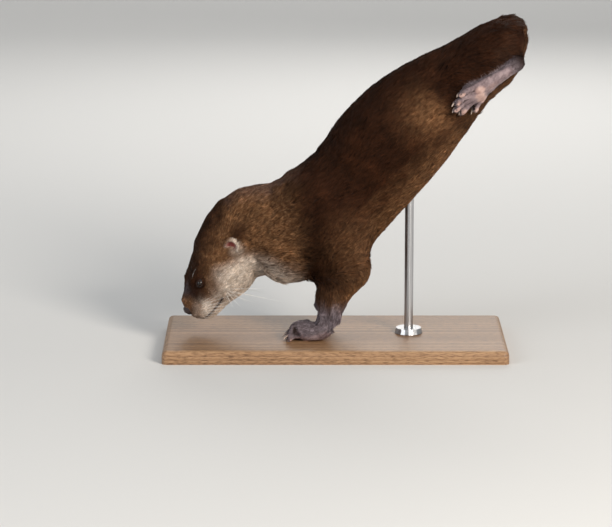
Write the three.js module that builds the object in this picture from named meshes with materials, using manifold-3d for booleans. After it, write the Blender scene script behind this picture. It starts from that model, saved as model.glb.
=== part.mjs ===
// A life-size Eurasian otter climbing head first down a slope, held on a plain display stand.
// Millimetres, +Z up. The otter faces -X and its left side is towards -Y.
// The origin is the centre of the stand's underside.
//
// The flesh is one smooth distance field, out to the tips of the coat. It is turned into a mesh
// piece by piece and parted by thin flat cuts into the animal's named parts.
import * as THREE from "three";
import { mergeVertices } from "three/addons/utils/BufferGeometryUtils.js";
import { RoundedBoxGeometry } from "three/addons/geometries/RoundedBoxGeometry.js";
import Module from "manifold-3d";

const wasm = await Module();
wasm.setup();

// ---- driving dimensions -------------------------------------------------------------------
const GAP = 0.5; // between two parts that touch
const SHIN_CLEARANCE = 4; // round a foot that lies against its shin, on the coarse grid
const BASE = { length: 460, width: 220, height: 18, cornerRadius: 7 };
const ROD = { radius: 6, x: 100, depthInBody: 34, bellyHeight: 197 };
const COLLAR = { radius: 19, topRadius: 17, height: 7 };
const SOLE_HEIGHT = BASE.height + GAP; // the forepaws stand on the stand

// Stations of the trunk and neck from the skull to the tail root: centre, half height, half width.
const SPINE = [
  { at: [-146, 10, 107], high: 41, wide: 36 },
  { at: [-137, 12, 125], high: 56, wide: 42 },
  { at: [-111, 10, 152], high: 65, wide: 51 },
  { at: [-66, 4, 156], high: 70, wide: 58 },
  { at: [-17, 0, 176], high: 71, wide: 62 },
  { at: [31, 0, 227], high: 71, wide: 66 },
  { at: [65, 0, 269], high: 74, wide: 70 },
  { at: [96, 0, 303], high: 72, wide: 69 },
  { at: [132, 0, 337], high: 63, wide: 61 },
  { at: [166, 0, 365], high: 52, wide: 52 },
  { at: [201, 0, 392], high: 40, wide: 44 },
  { at: [222, 1, 411], high: 31, wide: 36 },
];

// The tail leaves the rump and swings away to the animal's right, sinking towards its tip.
const TAIL = [
  { at: [212, 0, 401], high: 33, wide: 35 },
  { at: [227, 18, 416], high: 28, wide: 30 },
  { at: [233, 62, 418], high: 25, wide: 27 },
  { at: [232, 126, 402], high: 21, wide: 23 },
  { at: [218, 196, 375], high: 17, wide: 19 },
  { at: [193, 260, 340], high: 13, wide: 15 },
  { at: [164, 314, 303], high: 9.5, wide: 10.5 },
  { at: [147, 342, 282], high: 7, wide: 7 },
];

// The head's own frame: x to the nose, y to the left ear, z to the crown; its origin is between
// the eyes at half the muzzle's height.
const HEAD = {
  at: [-175, 0, 77],
  forward: [-0.54, -0.21, -0.815],
  up: [-0.805, -0.13, 0.57],
};
// An eye looks out of the coat by its own measure; an ear stands in it. Both are found by going
// from the head's middle, out to the side and up by the given slope, to where the coat ends.
const EYE = { x: -4, z: 7, slope: 0.4, radius: 6, proud: 1.6 };
const EAR = {
  x: -64, z: -1, slope: 0.28, width: 25, height: 20, thickness: 4.2,
  facing: [0.76, 0.65, 0], rising: [-0.35, 0.8, 0.5], leaning: 0.15,
};
const NOSE = { at: [36.5, 0, 5], size: [5.5, 10.5, 7.5] };

// Shoulder to wrist, and hip to heel: centre and radius. The left forepaw stands and the right
// one reaches down beside it; the right hind leg is the left one in the mirror, hanging lower.
const FORELEG = {
  left: [
    { at: [-38, -28, 204], r: 37 },
    { at: [-2, -36, 156], r: 38 },
    { at: [13.5, -42, 118], r: 34 },
    { at: [-4, -47, 80], r: 23 },
    { at: [-7, -48, 54], r: 16 },
    { at: [-14, -48, 37], r: 14 },
  ],
  right: [
    { at: [-38, 28, 204], r: 37 },
    { at: [-8, 36, 158], r: 36 },
    { at: [12, 38, 118], r: 29 },
    { at: [4, 38, 96], r: 19 },
    { at: [-1, 37, 80], r: 14 },
  ],
};
const HINDLEG = [
  { at: [204, -22, 394], r: 38 },
  { at: [188, -34, 385], r: 35 },
  { at: [170, -38, 375], r: 28 },
  { at: [204, -42, 385], r: 19 },
  { at: [236, -46, 394], r: 13 },
];
const RIGHT_HINDLEG_DROP = 30; // at its heel
const DROP_FORWARD = 0.3; // and how far forward for each millimetre of drop

// Paws in their own frame: x to the toes, y to the animal's left, z to the back of the paw.
// The origin lies on the sole under the wrist or heel.
const FOREPAW = {
  palm: { at: [15, 0, 11.5], size: [23, 18, 13.5], web: [27, 17, 6.5], webHeight: 7 },
  digits: { count: 5, root: 20, reach: [42, 48, 51, 49, 43], spread: 20, fan: 20, radius: [6.4, 5.2] },
  knuckle: 16.5,
};
const FOREPAW_STANCE = {
  left: { at: [-17, -50, SOLE_HEIGHT], forward: [-0.91, 0.41, 0], up: [0, 0, 1] },
  right: { at: [8, 36, 77], forward: [-0.36, 0.05, -0.93], up: [-0.93, 0.1, 0.36] },
};
const HINDPAW = {
  ankle: 21, // height of the cut between the shin and the foot
  heelRadius: 11,
  palm: { at: [33, 0, 11], size: [39, 14.5, 11], web: [27, 17, 6.5], webHeight: 7 },
  digits: { count: 5, root: 52, reach: [84, 98, 104, 101, 90], spread: 22, fan: 25, radius: [6, 5] },
  knuckle: 11,
};
const HINDPAW_STANCE = {
  at: [243, -62, 388],
  forward: [-0.85, -0.1, -0.515],
  up: [-0.335, 0.788, 0.517],
};
const CLAW = { length: 9, radius: 1.9, sides: 5, rings: 3, droop: 0.55, taper: 0.75 };

// How widely two masses run into each other.
const BLEND = {
  head: 22, foreleg: 26, forepaw: 6, haunch: 24, tail: 12, ankle: 8, joint: 8, digit: 3.5, web: 5,
};

// Grid steps of the meshes, and the boxes that they are made in.
const STEP = {
  head: 9, neck: 19, trunk: 24, tail: 15, tailTip: 10, leg: 18, paw: [8.5, 5.2, 5], shin: 9, ear: 4.2,
};
const REACH = {
  head: { low: [-232, -75, 28], high: [-78, 95, 236] },
  neck: { low: [-190, -90, 60], high: [-10, 90, 262] },
  trunk: { low: [-90, -110, 60], high: [290, 110, 480] },
  tailRoot: { low: [160, 20, 330], high: [300, 190, 480] },
  tailMiddle: { low: [150, 100, 300], high: [290, 290, 450] },
  tailTip: { low: [120, 200, 250], high: [260, 370, 410] },
  foreleg: { low: [-60, 6, 17], high: [70, 100, 170] },
  forepaw: { low: [-24, -34, 0], high: [66, 34, 34] },
  haunch: { low: [90, -4, 240], high: [290, 110, 470] },
  hindpaw: { low: [-22, -34, 0], high: [118, 34, 40] },
  ear: { low: [-20, -20, -20], high: [20, 20, 20] },
};

const COLOUR = {
  back: 0x4a2c1c, throat: 0xc9b294, skin: 0x5a4a48, claw: 0xb9a58e,
  eye: 0x120b08, wood: 0xb99a6e, steel: 0x9a9c9e,
};

// ---- distance fields ----------------------------------------------------------------------
const vec = (a) => new THREE.Vector3(...a);
const mirrored = (a) => [a[0], -a[1], a[2]];

function smoothUnion(a, b, blend) {
  const h = Math.max(blend - Math.abs(a - b), 0) / blend;
  return Math.min(a, b) - (h * h * blend) / 4;
}

// Distance to an ellipsoid with half axes rx, ry, rz, for a point given about its centre.
function ellipsoid(x, y, z, rx, ry, rz) {
  const inner = Math.hypot(x / rx, y / ry, z / rz);
  const slope = Math.hypot(x / (rx * rx), y / (ry * ry), z / (rz * rz));
  return slope < 1e-9 ? -Math.min(rx, ry, rz) : (inner * (inner - 1)) / slope;
}

// A frame with its own x and z axes: gives a point's coordinates in it, and takes them back.
function frameOf({ at, forward, up }) {
  const x = vec(forward).normalize();
  const z = vec(up).addScaledVector(x, -vec(up).dot(x)).normalize();
  const y = new THREE.Vector3().crossVectors(z, x);
  const matrix = new THREE.Matrix4().makeBasis(x, y, z).setPosition(...at);
  const inverse = matrix.clone().invert();
  return {
    matrix,
    inside: (p) => p.clone().applyMatrix4(inverse),
    outside: (a) => vec(a).applyMatrix4(matrix),
  };
}

// Distance to a chain of tapering limb segments.
function limb(joints) {
  const places = joints.map((j) => vec(j.at));
  const nearest = new THREE.Vector3();
  return (p) => {
    let best = Infinity;
    for (let i = 0; i + 1 < joints.length; i++) {
      const along = nearest.subVectors(places[i + 1], places[i]);
      const size = along.lengthSq();
      const t = THREE.MathUtils.clamp((p.dot(along) - places[i].dot(along)) / size, 0, 1);
      const radius = THREE.MathUtils.lerp(joints[i].r, joints[i + 1].r, t);
      const d = along.multiplyScalar(t).add(places[i]).distanceTo(p) - radius;
      best = best === Infinity ? d : smoothUnion(best, d, BLEND.joint);
    }
    return best;
  };
}

// Distance to a body of elliptical sections strung on a smooth curve through the stations.
function sections(stations, samples) {
  const path = new THREE.CatmullRomCurve3(stations.map((s) => vec(s.at)), false, "centripetal");
  const sizes = new THREE.CatmullRomCurve3(stations.map((s) => vec([s.high, s.wide, 0])));
  const across = vec([-0.7, 0.1, 0.7]); // never along a path
  const rows = Array.from({ length: samples + 1 }, (_, i) => {
    const t = i / samples;
    const tangent = path.getTangent(t);
    const side = new THREE.Vector3().crossVectors(across, tangent).normalize();
    const size = sizes.getPoint(t);
    return { at: path.getPoint(t), tangent, side, high: size.x, wide: size.y };
  });
  const away = new THREE.Vector3();
  return (p) => {
    let closest = Infinity;
    let row = 0;
    rows.forEach((r, i) => {
      const d = r.at.distanceToSquared(p);
      if (d < closest) [closest, row] = [d, i];
    });
    const r = rows[row];
    away.subVectors(p, r.at);
    const along = away.dot(r.tangent);
    const sideways = away.dot(r.side);
    const upwards = Math.sqrt(Math.max(away.lengthSq() - along * along - sideways * sideways, 0));
    const next = rows[THREE.MathUtils.clamp(row + Math.sign(along), 0, samples)];
    const share = Math.min(Math.abs(along) / (next.at.distanceTo(r.at) || 1), 1);
    const high = THREE.MathUtils.lerp(r.high, next.high, share);
    const wide = THREE.MathUtils.lerp(r.wide, next.wide, share);
    const past = next === r ? along : 0;
    return ellipsoid(past, sideways, upwards, Math.min(high, wide), wide, high);
  };
}

// The head's main masses, each an ellipsoid: centre, half axes, blend. Two-sided ones are listed
// once, for the left.
const HEAD_MASSES = [
  { at: [-46, 0, 5], size: [48, 46, 36], blend: 1 },
  { at: [-24, 22, -6], size: [34, 24, 22.5], blend: 14, paired: true },
  { at: [-14, 0, -18], size: [34, 25, 18.5], blend: 12 },
  { at: [8, 0, -3], size: [30, 27, 23], blend: 12 },
  { at: [20, 14, -7], size: [17.5, 16.5, 15], blend: 7, paired: true },
  { at: [7, 0, 13], size: [28, 14, 11], blend: 11 },
  { at: [-11, 18, 23], size: [21, 12, 9.5], blend: 9, paired: true },
  { at: [10, 0, -21], size: [23, 17, 11], blend: 8 },
];

function headField() {
  const frame = frameOf(HEAD);
  return (point) => {
    const p = frame.inside(point);
    let d = Infinity;
    for (const { at, size, blend, paired } of HEAD_MASSES) {
      const y = paired ? Math.abs(p.y) : p.y;
      const e = ellipsoid(p.x - at[0], y - at[1], p.z - at[2], ...size);
      d = d === Infinity ? e : smoothUnion(d, e, blend);
    }
    return d;
  };
}

// Where each digit of a paw starts, bends and ends, in the paw's frame.
function digitsOf(paw) {
  const { count, root, reach, spread, fan, radius } = paw.digits;
  return Array.from({ length: count }, (_, i) => {
    const side = i / (count - 1) - 0.5; // -0.5 on the right, 0.5 on the left
    const bend = (root + reach[i]) / 2;
    return [
      { at: [root - 6, side * spread, paw.knuckle * 0.7], r: radius[0] },
      { at: [bend, side * (spread + fan * 0.5), paw.knuckle], r: radius[0] * 0.9 },
      { at: [reach[i] - radius[1], side * (spread + fan), radius[1]], r: radius[1] },
    ];
  });
}

function pawField(paw) {
  const frame = frameOf(paw);
  const digits = digitsOf(paw).map(limb);
  const { at, size, web, webHeight } = paw.palm;
  const middle = paw.digits.root + 5;
  return (point) => {
    const p = frame.inside(point);
    let d = ellipsoid(p.x - at[0], p.y - at[1], p.z - at[2], ...size);
    d = smoothUnion(d, ellipsoid(p.x - middle, p.y, p.z - webHeight, ...web), BLEND.web);
    for (const digit of digits) d = smoothUnion(d, digit(p), BLEND.digit);
    return Math.max(d, -p.z); // flat sole
  };
}

// The place across the body from one on the left hind leg, where that leg hangs lower.
const lowered = (at, drop) => [at[0] - drop * DROP_FORWARD, -at[1], at[2] - drop];
const SIDES = {
  left: {
    sign: -1,
    foreleg: FORELEG.left,
    forepaw: { ...FOREPAW, ...FOREPAW_STANCE.left },
    hindleg: HINDLEG,
    hindpaw: { ...HINDPAW, ...HINDPAW_STANCE },
  },
  right: {
    sign: 1,
    foreleg: FORELEG.right,
    forepaw: { ...FOREPAW, ...FOREPAW_STANCE.right },
    hindleg: HINDLEG.map(({ at, r }, i) => (
      { at: lowered(at, (RIGHT_HINDLEG_DROP * i) / (HINDLEG.length - 1)), r })),
    hindpaw: {
      ...HINDPAW,
      at: lowered(HINDPAW_STANCE.at, RIGHT_HINDLEG_DROP),
      forward: mirrored(HINDPAW_STANCE.forward),
      up: mirrored(HINDPAW_STANCE.up),
      digits: { ...HINDPAW.digits, reach: HINDPAW.digits.reach.toReversed() },
    },
  },
};

const spine = sections(SPINE, 64);
const tail = sections(TAIL, 48);
const head = headField();
for (const side of Object.values(SIDES)) {
  side.leg = limb(side.foreleg);
  side.haunch = limb(side.hindleg);
  side.paw = pawField(side.forepaw);
  side.foot = pawField(side.hindpaw);
}

// The whole animal without its hind feet, whose backs lie against the shins.
function flesh(p) {
  let d = smoothUnion(spine(p), head(p), BLEND.head);
  for (const { leg, haunch, paw } of Object.values(SIDES)) {
    d = smoothUnion(d, smoothUnion(leg(p), paw(p), BLEND.forepaw), BLEND.foreleg);
    d = smoothUnion(d, haunch(p), BLEND.haunch);
  }
  return smoothUnion(d, tail(p), BLEND.tail);
}
const footFlesh = ({ foot, hindleg, hindpaw }) => {
  const heel = frameOf(hindpaw).outside([2, 0, HINDPAW.ankle / 2]).toArray();
  const ankle = limb([hindleg.at(-1), { at: heel, r: HINDPAW.heelRadius }]);
  return (p) => smoothUnion(foot(p), ankle(p), BLEND.ankle);
};

// ---- from field to mesh -------------------------------------------------------------------
// A closed mesh of field = 0 inside a box, by surface nets: one vertex in each cell that the
// surface crosses, moved onto the surface, and a quad across each crossed edge. The box and its
// steps stand in a frame of their own.
function meshOf(field, { frame = new THREE.Matrix4(), low, high, step }) {
  const steps = Array.isArray(step) ? step : [step, step, step];
  const n = steps.map((s, k) => Math.ceil((high[k] - low[k]) / s) + 3);
  const start = steps.map((s, k) => (low[k] + high[k]) / 2 - ((n[k] - 1) * s) / 2);
  const mid = vec(low).add(vec(high)).multiplyScalar(0.5);
  const half = vec(high).sub(vec(low)).multiplyScalar(0.5);
  const world = new THREE.Vector3();
  const clipped = (p) => {
    const out = Math.max(
      Math.abs(p.x - mid.x) - half.x,
      Math.abs(p.y - mid.y) - half.y,
      Math.abs(p.z - mid.z) - half.z,
    );
    return Math.max(field(world.copy(p).applyMatrix4(frame)), out);
  };
  const gridPoint = (...cell) => vec(cell.map((c, k) => start[k] + c * steps[k]));
  const index = (i, j, k) => (i * n[1] + j) * n[2] + k;
  const value = new Float64Array(n[0] * n[1] * n[2]);
  for (let i = 0; i < n[0]; i++)
    for (let j = 0; j < n[1]; j++)
      for (let k = 0; k < n[2]; k++) value[index(i, j, k)] = clipped(gridPoint(i, j, k)) || 1e-6;

  const corners = [0, 1, 2, 3, 4, 5, 6, 7].map((c) => [c >> 2, (c >> 1) & 1, c & 1]);
  const apart = (a, b) => Math.abs(a[0] - b[0]) + Math.abs(a[1] - b[1]) + Math.abs(a[2] - b[2]);
  const edges = corners.flatMap((a, i) =>
    corners.slice(i + 1).filter((b) => apart(a, b) === 1).map((b) => [a, b]));

  // Where the grid is too coarse to part two bodies they are joined: of each cell's corners
  // those inside hang together along its edges, and so do those outside.
  const hangsTogether = (mask) => {
    const members = [0, 1, 2, 3, 4, 5, 6, 7].filter((c) => mask & (1 << c));
    const reached = members.slice(0, 1);
    for (const c of reached)
      for (const bit of [1, 2, 4])
        if (members.includes(c ^ bit) && !reached.includes(c ^ bit)) reached.push(c ^ bit);
    return reached.length === members.length;
  };
  const clear = Array.from({ length: 256 }, (_, mask) =>
    hangsTogether(mask) && hangsTogether(255 - mask));
  for (let changed = true; changed; ) {
    changed = false;
    for (let i = 0; i + 1 < n[0]; i++)
      for (let j = 0; j + 1 < n[1]; j++)
        for (let k = 0; k + 1 < n[2]; k++) {
          const at = corners.map((c) => index(i + c[0], j + c[1], k + c[2]));
          if (clear[at.reduce((mask, a, c) => mask | ((value[a] < 0) << c), 0)]) continue;
          value[at.filter((a) => value[a] >= 0).reduce((a, b) => (value[a] < value[b] ? a : b))] = -0.1;
          changed = true;
        }
  }

  // Moves a cell's vertex onto the surface, and keeps it in its cell so that no two can meet.
  const settle = (p, cell) => {
    const h = 0.2;
    const least = gridPoint(...cell.map((c) => c + 0.03));
    const most = gridPoint(...cell.map((c) => c + 0.97));
    for (let turn = 0; turn < 4; turn++) {
      const d = clipped(p);
      const slope = vec([0, 1, 2].map((axis) => {
        const q = p.clone().setComponent(axis, p.getComponent(axis) + h);
        return (clipped(q) - d) / h;
      }));
      const size = Math.max(slope.lengthSq(), 0.2);
      p.addScaledVector(slope, THREE.MathUtils.clamp(-d / size, -2, 2)).clamp(least, most);
    }
    return p;
  };

  const positions = [];
  const cellVertex = new Map();
  for (let i = 0; i + 1 < n[0]; i++)
    for (let j = 0; j + 1 < n[1]; j++)
      for (let k = 0; k + 1 < n[2]; k++) {
        const sum = new THREE.Vector3();
        let count = 0;
        for (const [a, b] of edges) {
          const va = value[index(i + a[0], j + a[1], k + a[2])];
          const vb = value[index(i + b[0], j + b[1], k + b[2])];
          if (va < 0 === vb < 0) continue;
          sum.add(gridPoint(i + a[0], j + a[1], k + a[2])
            .lerp(gridPoint(i + b[0], j + b[1], k + b[2]), va / (va - vb)));
          count++;
        }
        if (!count) continue;
        cellVertex.set(index(i, j, k), positions.length / 3);
        positions.push(...settle(sum.divideScalar(count), [i, j, k]).applyMatrix4(frame).toArray());
      }

  const faces = [];
  const quad = (a, b, c, d, flip) => {
    const [p, q, r, s] = flip ? [d, c, b, a] : [a, b, c, d];
    const at = (v) => vec(positions.slice(v * 3, v * 3 + 3));
    const shorter = at(p).distanceTo(at(r)) <= at(q).distanceTo(at(s));
    faces.push(...(shorter ? [p, q, r, p, r, s] : [q, r, s, q, s, p]));
  };
  for (let i = 1; i + 1 < n[0]; i++)
    for (let j = 1; j + 1 < n[1]; j++)
      for (let k = 1; k + 1 < n[2]; k++) {
        const here = value[index(i, j, k)] < 0;
        const cell = (a, b, c) => cellVertex.get(index(i - a, j - b, k - c));
        if (here !== value[index(i + 1, j, k)] < 0)
          quad(cell(0, 1, 1), cell(0, 0, 1), cell(0, 0, 0), cell(0, 1, 0), !here);
        if (here !== value[index(i, j + 1, k)] < 0)
          quad(cell(1, 0, 1), cell(1, 0, 0), cell(0, 0, 0), cell(0, 0, 1), !here);
        if (here !== value[index(i, j, k + 1)] < 0)
          quad(cell(1, 1, 0), cell(0, 1, 0), cell(0, 0, 0), cell(1, 0, 0), !here);
      }
  return new THREE.BufferGeometry()
    .setAttribute("position", new THREE.Float32BufferAttribute(positions, 3))
    .setIndex(faces);
}

// ---- manifold-3d: cuts and joins ------------------------------------------------------------
function solidOf(geometry) {
  const bare = geometry.clone();
  for (const name of Object.keys(bare.attributes)) if (name !== "position") bare.deleteAttribute(name);
  const merged = mergeVertices(bare, 1e-4);
  return new wasm.Manifold(new wasm.Mesh({
    numProp: 3,
    vertProperties: merged.attributes.position.array,
    triVerts: new Uint32Array(merged.index.array),
  }));
}

function geometryOf(solid) {
  const mesh = solid.getMesh();
  const positions = new Float32Array(mesh.numVert * 3);
  for (let i = 0; i < mesh.numVert; i++)
    positions.set(mesh.vertProperties.subarray(i * mesh.numProp, i * mesh.numProp + 3), i * 3);
  return new THREE.BufferGeometry()
    .setAttribute("position", new THREE.BufferAttribute(positions, 3))
    .setIndex(new THREE.BufferAttribute(mesh.triVerts, 1));
}

// The same mesh with each vertex moved out along its normal.
function grown(geometry, by) {
  const smooth = mergeVertices(geometry.clone().deleteAttribute("normal"), 1e-4);
  smooth.computeVertexNormals();
  const { position, normal } = smooth.attributes;
  for (let i = 0; i < position.count; i++)
    position.setXYZ(i, position.getX(i) + normal.getX(i) * by,
      position.getY(i) + normal.getY(i) * by, position.getZ(i) + normal.getZ(i) * by);
  return solidOf(smooth);
}

// All space on the side of a plane that its normal points to, as far as the model reaches.
function halfSpace(at, normal, inset = GAP / 2) {
  const size = 1600;
  const direction = vec(normal).normalize();
  const box = new THREE.BoxGeometry(size, size, size).translate(size / 2 + inset, 0, 0);
  const turn = new THREE.Quaternion().setFromUnitVectors(new THREE.Vector3(1, 0, 0), direction);
  return solidOf(box.applyQuaternion(turn).translate(...at));
}

// The largest connected body of a solid, without slivers that a cut may leave.
function mainBody(solid) {
  return solid.decompose().reduce((a, b) => (a.volume() > b.volume() ? a : b));
}

// ---- the parting planes -------------------------------------------------------------------
const CUT = {
  head: { at: [-124, 14, 146], normal: [-0.86, -0.1, -0.5] },
  neck: { at: [-50, 0, 160], normal: [-0.99, 0, -0.13] },
  foreleg: { at: [14, 0, 112], normal: [0.42, 0, -0.9] },
  haunchFront: { at: [136, 0, 334], normal: [0.74, 0, 0.67] },
  haunchTop: { at: [184, 15, 384], normal: [0.42, 0.78, -0.46] }, // of the right leg
  haunchInside: 9,
  tailRoot: { at: [238, 46, 424], normal: [0, 1, 0] },
  tailFloor: { at: [215, 0, 388], normal: [0.4, 0, 0.92] }, // above the right hind leg
  tailFree: { at: [0, 100, 0], normal: [0, 1, 0] }, // past the right hind leg
  tailMiddle: { at: [237, 140, 401], normal: [-0.15, 0.92, -0.35] },
  tailTip: { at: [204, 238, 356], normal: [-0.36, 0.8, -0.47] },
};
const flipped = ({ at, normal }) => ({ at, normal: normal.map((v) => -v) });
const side = ({ at, normal }) => halfSpace(at, normal);

// The space of the tail, past its root's cut and clear of the right haunch.
const tailSpace = () => side(CUT.tailRoot).intersect(side(CUT.tailFloor).add(side(CUT.tailFree)));
// The same, and the gap around it.
const tailSpaceAndGap = () => halfSpace(CUT.tailRoot.at, CUT.tailRoot.normal, -GAP / 2)
  .intersect(halfSpace(CUT.tailFloor.at, CUT.tailFloor.normal, -GAP / 2).add(side(CUT.tailFree)));

// ---- parts of flesh -----------------------------------------------------------------------
const material = (color, roughness, metalness = 0) =>
  new THREE.MeshStandardMaterial({ color, roughness, metalness });
const MATERIAL = {
  coat: material(COLOUR.back, 0.75),
  throat: material(COLOUR.throat, 0.75),
  skin: material(COLOUR.skin, 0.5),
  claw: material(COLOUR.claw, 0.45),
  eye: material(COLOUR.eye, 0.1),
  wood: material(COLOUR.wood, 0.5),
  steel: material(COLOUR.steel, 0.3, 1),
};
const otter = new THREE.Group();
function show(name, geometry, look) {
  const mesh = new THREE.Mesh(geometry, look);
  mesh.name = name;
  otter.add(mesh);
}

const headFrame = frameOf(HEAD);

// Where the coat of the head ends on the way out to one side, in the head's frame.
function sideOfHead({ x, z, slope }, sign) {
  const direction = new THREE.Vector3(0, sign, slope).normalize();
  let [near, far] = [0, 90];
  for (let turn = 0; turn < 24; turn++) {
    const middle = (near + far) / 2;
    const place = direction.clone().multiplyScalar(middle).add(vec([x, 0, z]));
    if (flesh(headFrame.outside(place.toArray())) < 0) near = middle;
    else far = middle;
  }
  return { place: direction.clone().multiplyScalar(near).add(vec([x, 0, z])), direction };
}

function eyeSolid(sign, extra = 0) {
  const { place, direction } = sideOfHead(EYE, sign);
  place.addScaledVector(direction, EYE.proud - EYE.radius);
  const ball = new THREE.SphereGeometry(EYE.radius + extra, 10, 7).rotateX(Math.PI / 2);
  return solidOf(ball.translate(...place.toArray()).applyMatrix4(headFrame.matrix));
}

// A rounded pad with two shallow nostrils cut in its front.
function nosePad(extra = 0) {
  const [x, y, z] = NOSE.at;
  const pad = new THREE.SphereGeometry(1, 10, 7)
    .scale(...NOSE.size.map((s) => s + extra)).translate(x, y, z).applyMatrix4(headFrame.matrix);
  return solidOf(pad);
}
function nostril(sign) {
  const [x, , z] = NOSE.at;
  const hole = new THREE.SphereGeometry(2.4, 6, 5).scale(1.3, 1, 0.8);
  return solidOf(hole.translate(x + 5.4, sign * 6.5, z).applyMatrix4(headFrame.matrix));
}

// An ear is a small upright shell, hollow in front, with its foot in the coat of the head.
function earGeometry(sign) {
  const { place } = sideOfHead(EAR, sign);
  const frame = frameOf({
    at: place.toArray(),
    forward: [EAR.facing[0], sign * EAR.facing[1], EAR.facing[2]],
    up: [EAR.rising[0], sign * EAR.rising[1], EAR.rising[2]],
  });
  const { width, height, thickness, leaning } = EAR;
  const field = (p) => {
    const depth = p.x + p.z * leaning;
    const shell = ellipsoid(depth, p.y, p.z, thickness, width / 2, height);
    const hollow = ellipsoid(depth - thickness, p.y, p.z - 2, thickness, width * 0.3, height * 0.7);
    return Math.max(shell, -hollow);
  };
  const geometry = meshOf(field, { ...REACH.ear, step: STEP.ear });
  return geometry.applyMatrix4(frame.matrix).applyMatrix4(headFrame.matrix);
}

function makeHead() {
  const skull = meshOf(flesh, { ...REACH.head, step: STEP.head });
  let solid = solidOf(skull).intersect(side(CUT.head));
  const skullGrown = grown(skull, GAP);
  for (const [name, sign] of [["left", 1], ["right", -1]]) {
    solid = solid.subtract(eyeSolid(sign, GAP));
    show("eye_" + name, geometryOf(eyeSolid(sign)), MATERIAL.eye);
    const ear = solidOf(earGeometry(sign)).subtract(skullGrown);
    show("ear_" + name, geometryOf(mainBody(ear)), MATERIAL.coat);
  }
  solid = solid.subtract(nosePad(GAP));
  show("nose", geometryOf(nosePad().subtract(nostril(1)).subtract(nostril(-1))), MATERIAL.skin);
  show("head", geometryOf(mainBody(solid)), MATERIAL.coat);
}

function makeNeck() {
  const geometry = meshOf(flesh, { ...REACH.neck, step: STEP.neck });
  const solid = solidOf(geometry).intersect(side(flipped(CUT.head))).intersect(side(CUT.neck));
  show("neck", geometryOf(mainBody(solid)), MATERIAL.throat);
}

// The block that a hind leg is cut out of, behind the knee and below a slanting plane along the
// rump, or the same with the gap around it.
function haunchBlock(sign, gap) {
  const inset = GAP / 2 - gap;
  const across = (a) => [a[0], sign * a[1], a[2]];
  return halfSpace([0, sign * CUT.haunchInside, 0], [0, sign, 0], inset)
    .intersect(halfSpace(CUT.haunchFront.at, CUT.haunchFront.normal, inset))
    .intersect(halfSpace(across(CUT.haunchTop.at), across(CUT.haunchTop.normal), inset));
}

function rodSolid(extra) {
  const top = ROD.bellyHeight + ROD.depthInBody + extra;
  const length = top - BASE.height;
  const rod = new THREE.CylinderGeometry(ROD.radius + extra, ROD.radius + extra, length, 16);
  return rod.rotateX(Math.PI / 2).translate(ROD.x, 0, BASE.height + length / 2);
}

function makeTrunk(feet) {
  const geometry = meshOf(flesh, { ...REACH.trunk, step: STEP.trunk });
  let solid = solidOf(geometry)
    .intersect(side(flipped(CUT.neck)))
    .intersect(side(flipped(CUT.foreleg)))
    .subtract(haunchBlock(-1, GAP))
    .subtract(haunchBlock(1, GAP))
    .subtract(tailSpaceAndGap())
    .subtract(solidOf(rodSolid(GAP)));
  for (const foot of feet) solid = solid.subtract(foot);
  show("trunk", geometryOf(mainBody(solid)), MATERIAL.coat);
}

function makeTail() {
  const solid = (reach, step) => solidOf(meshOf(flesh, { ...reach, step }));
  const root = solid(REACH.tailRoot, STEP.tail)
    .intersect(tailSpace()).intersect(side(flipped(CUT.tailMiddle)));
  const middle = solid(REACH.tailMiddle, STEP.tail)
    .intersect(side(CUT.tailMiddle)).intersect(side(flipped(CUT.tailTip)));
  const tip = solid(REACH.tailTip, STEP.tailTip).intersect(side(CUT.tailTip));
  show("tail_root", geometryOf(mainBody(root)), MATERIAL.coat);
  show("tail_middle", geometryOf(mainBody(middle)), MATERIAL.coat);
  show("tail_tip", geometryOf(mainBody(tip)), MATERIAL.coat);
}

// A claw leaves the end of its digit and droops to a point.
function clawSolid(paw, digit, extra = 0) {
  const tip = vec(digit[2].at);
  const heading = tip.clone().sub(vec(digit[1].at)).setZ(0).normalize();
  const { sides, rings, droop, taper } = CLAW;
  const from = tip.clone().addScaledVector(heading, digit[2].r * 0.4);
  from.z += digit[2].r * 0.35;
  const length = CLAW.length + extra * 2;
  const radius = CLAW.radius + extra;
  const positions = [];
  for (let i = 0; i < rings; i++) {
    const t = i / rings;
    const centre = from.clone().addScaledVector(heading, length * t);
    centre.z -= droop * length * t * t;
    const across = new THREE.Vector3(-heading.y, heading.x, 0);
    for (let j = 0; j < sides; j++) {
      const a = (2 * Math.PI * j) / sides;
      const r = radius * (1 - t * taper);
      const v = centre.clone().addScaledVector(across, r * 0.8 * Math.cos(a));
      v.z += r * Math.sin(a);
      positions.push(...v.toArray());
    }
  }
  const end = from.clone().addScaledVector(heading, length);
  end.z -= droop * length;
  positions.push(...from.toArray(), ...end.toArray());
  const faces = [];
  const first = rings * sides;
  for (let j = 0; j < sides; j++) {
    const next = (j + 1) % sides;
    faces.push(first, next, j, first + 1, first - sides + j, first - sides + next);
    for (let i = 0; i + 1 < rings; i++) {
      const a = i * sides;
      faces.push(a + j, a + next, a + sides + next, a + j, a + sides + next, a + sides + j);
    }
  }
  const geometry = new THREE.BufferGeometry()
    .setAttribute("position", new THREE.Float32BufferAttribute(positions, 3)).setIndex(faces);
  return solidOf(geometry.applyMatrix4(frameOf(paw).matrix));
}

function makeClaws(name, paw, geometry) {
  const around = grown(geometry, GAP);
  digitsOf(paw).forEach((digit, i) => {
    const claw = clawSolid(paw, digit).subtract(around);
    show(`${name}_claw_${i + 1}`, geometryOf(mainBody(claw)), MATERIAL.claw);
  });
}

// A box given for the right side, on the side asked for.
function onSide({ low, high }, sign) {
  const [near, far] = [sign * low[1], sign * high[1]];
  return {
    low: [low[0], Math.min(near, far), low[2]],
    high: [high[0], Math.max(near, far), high[2]],
  };
}

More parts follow.
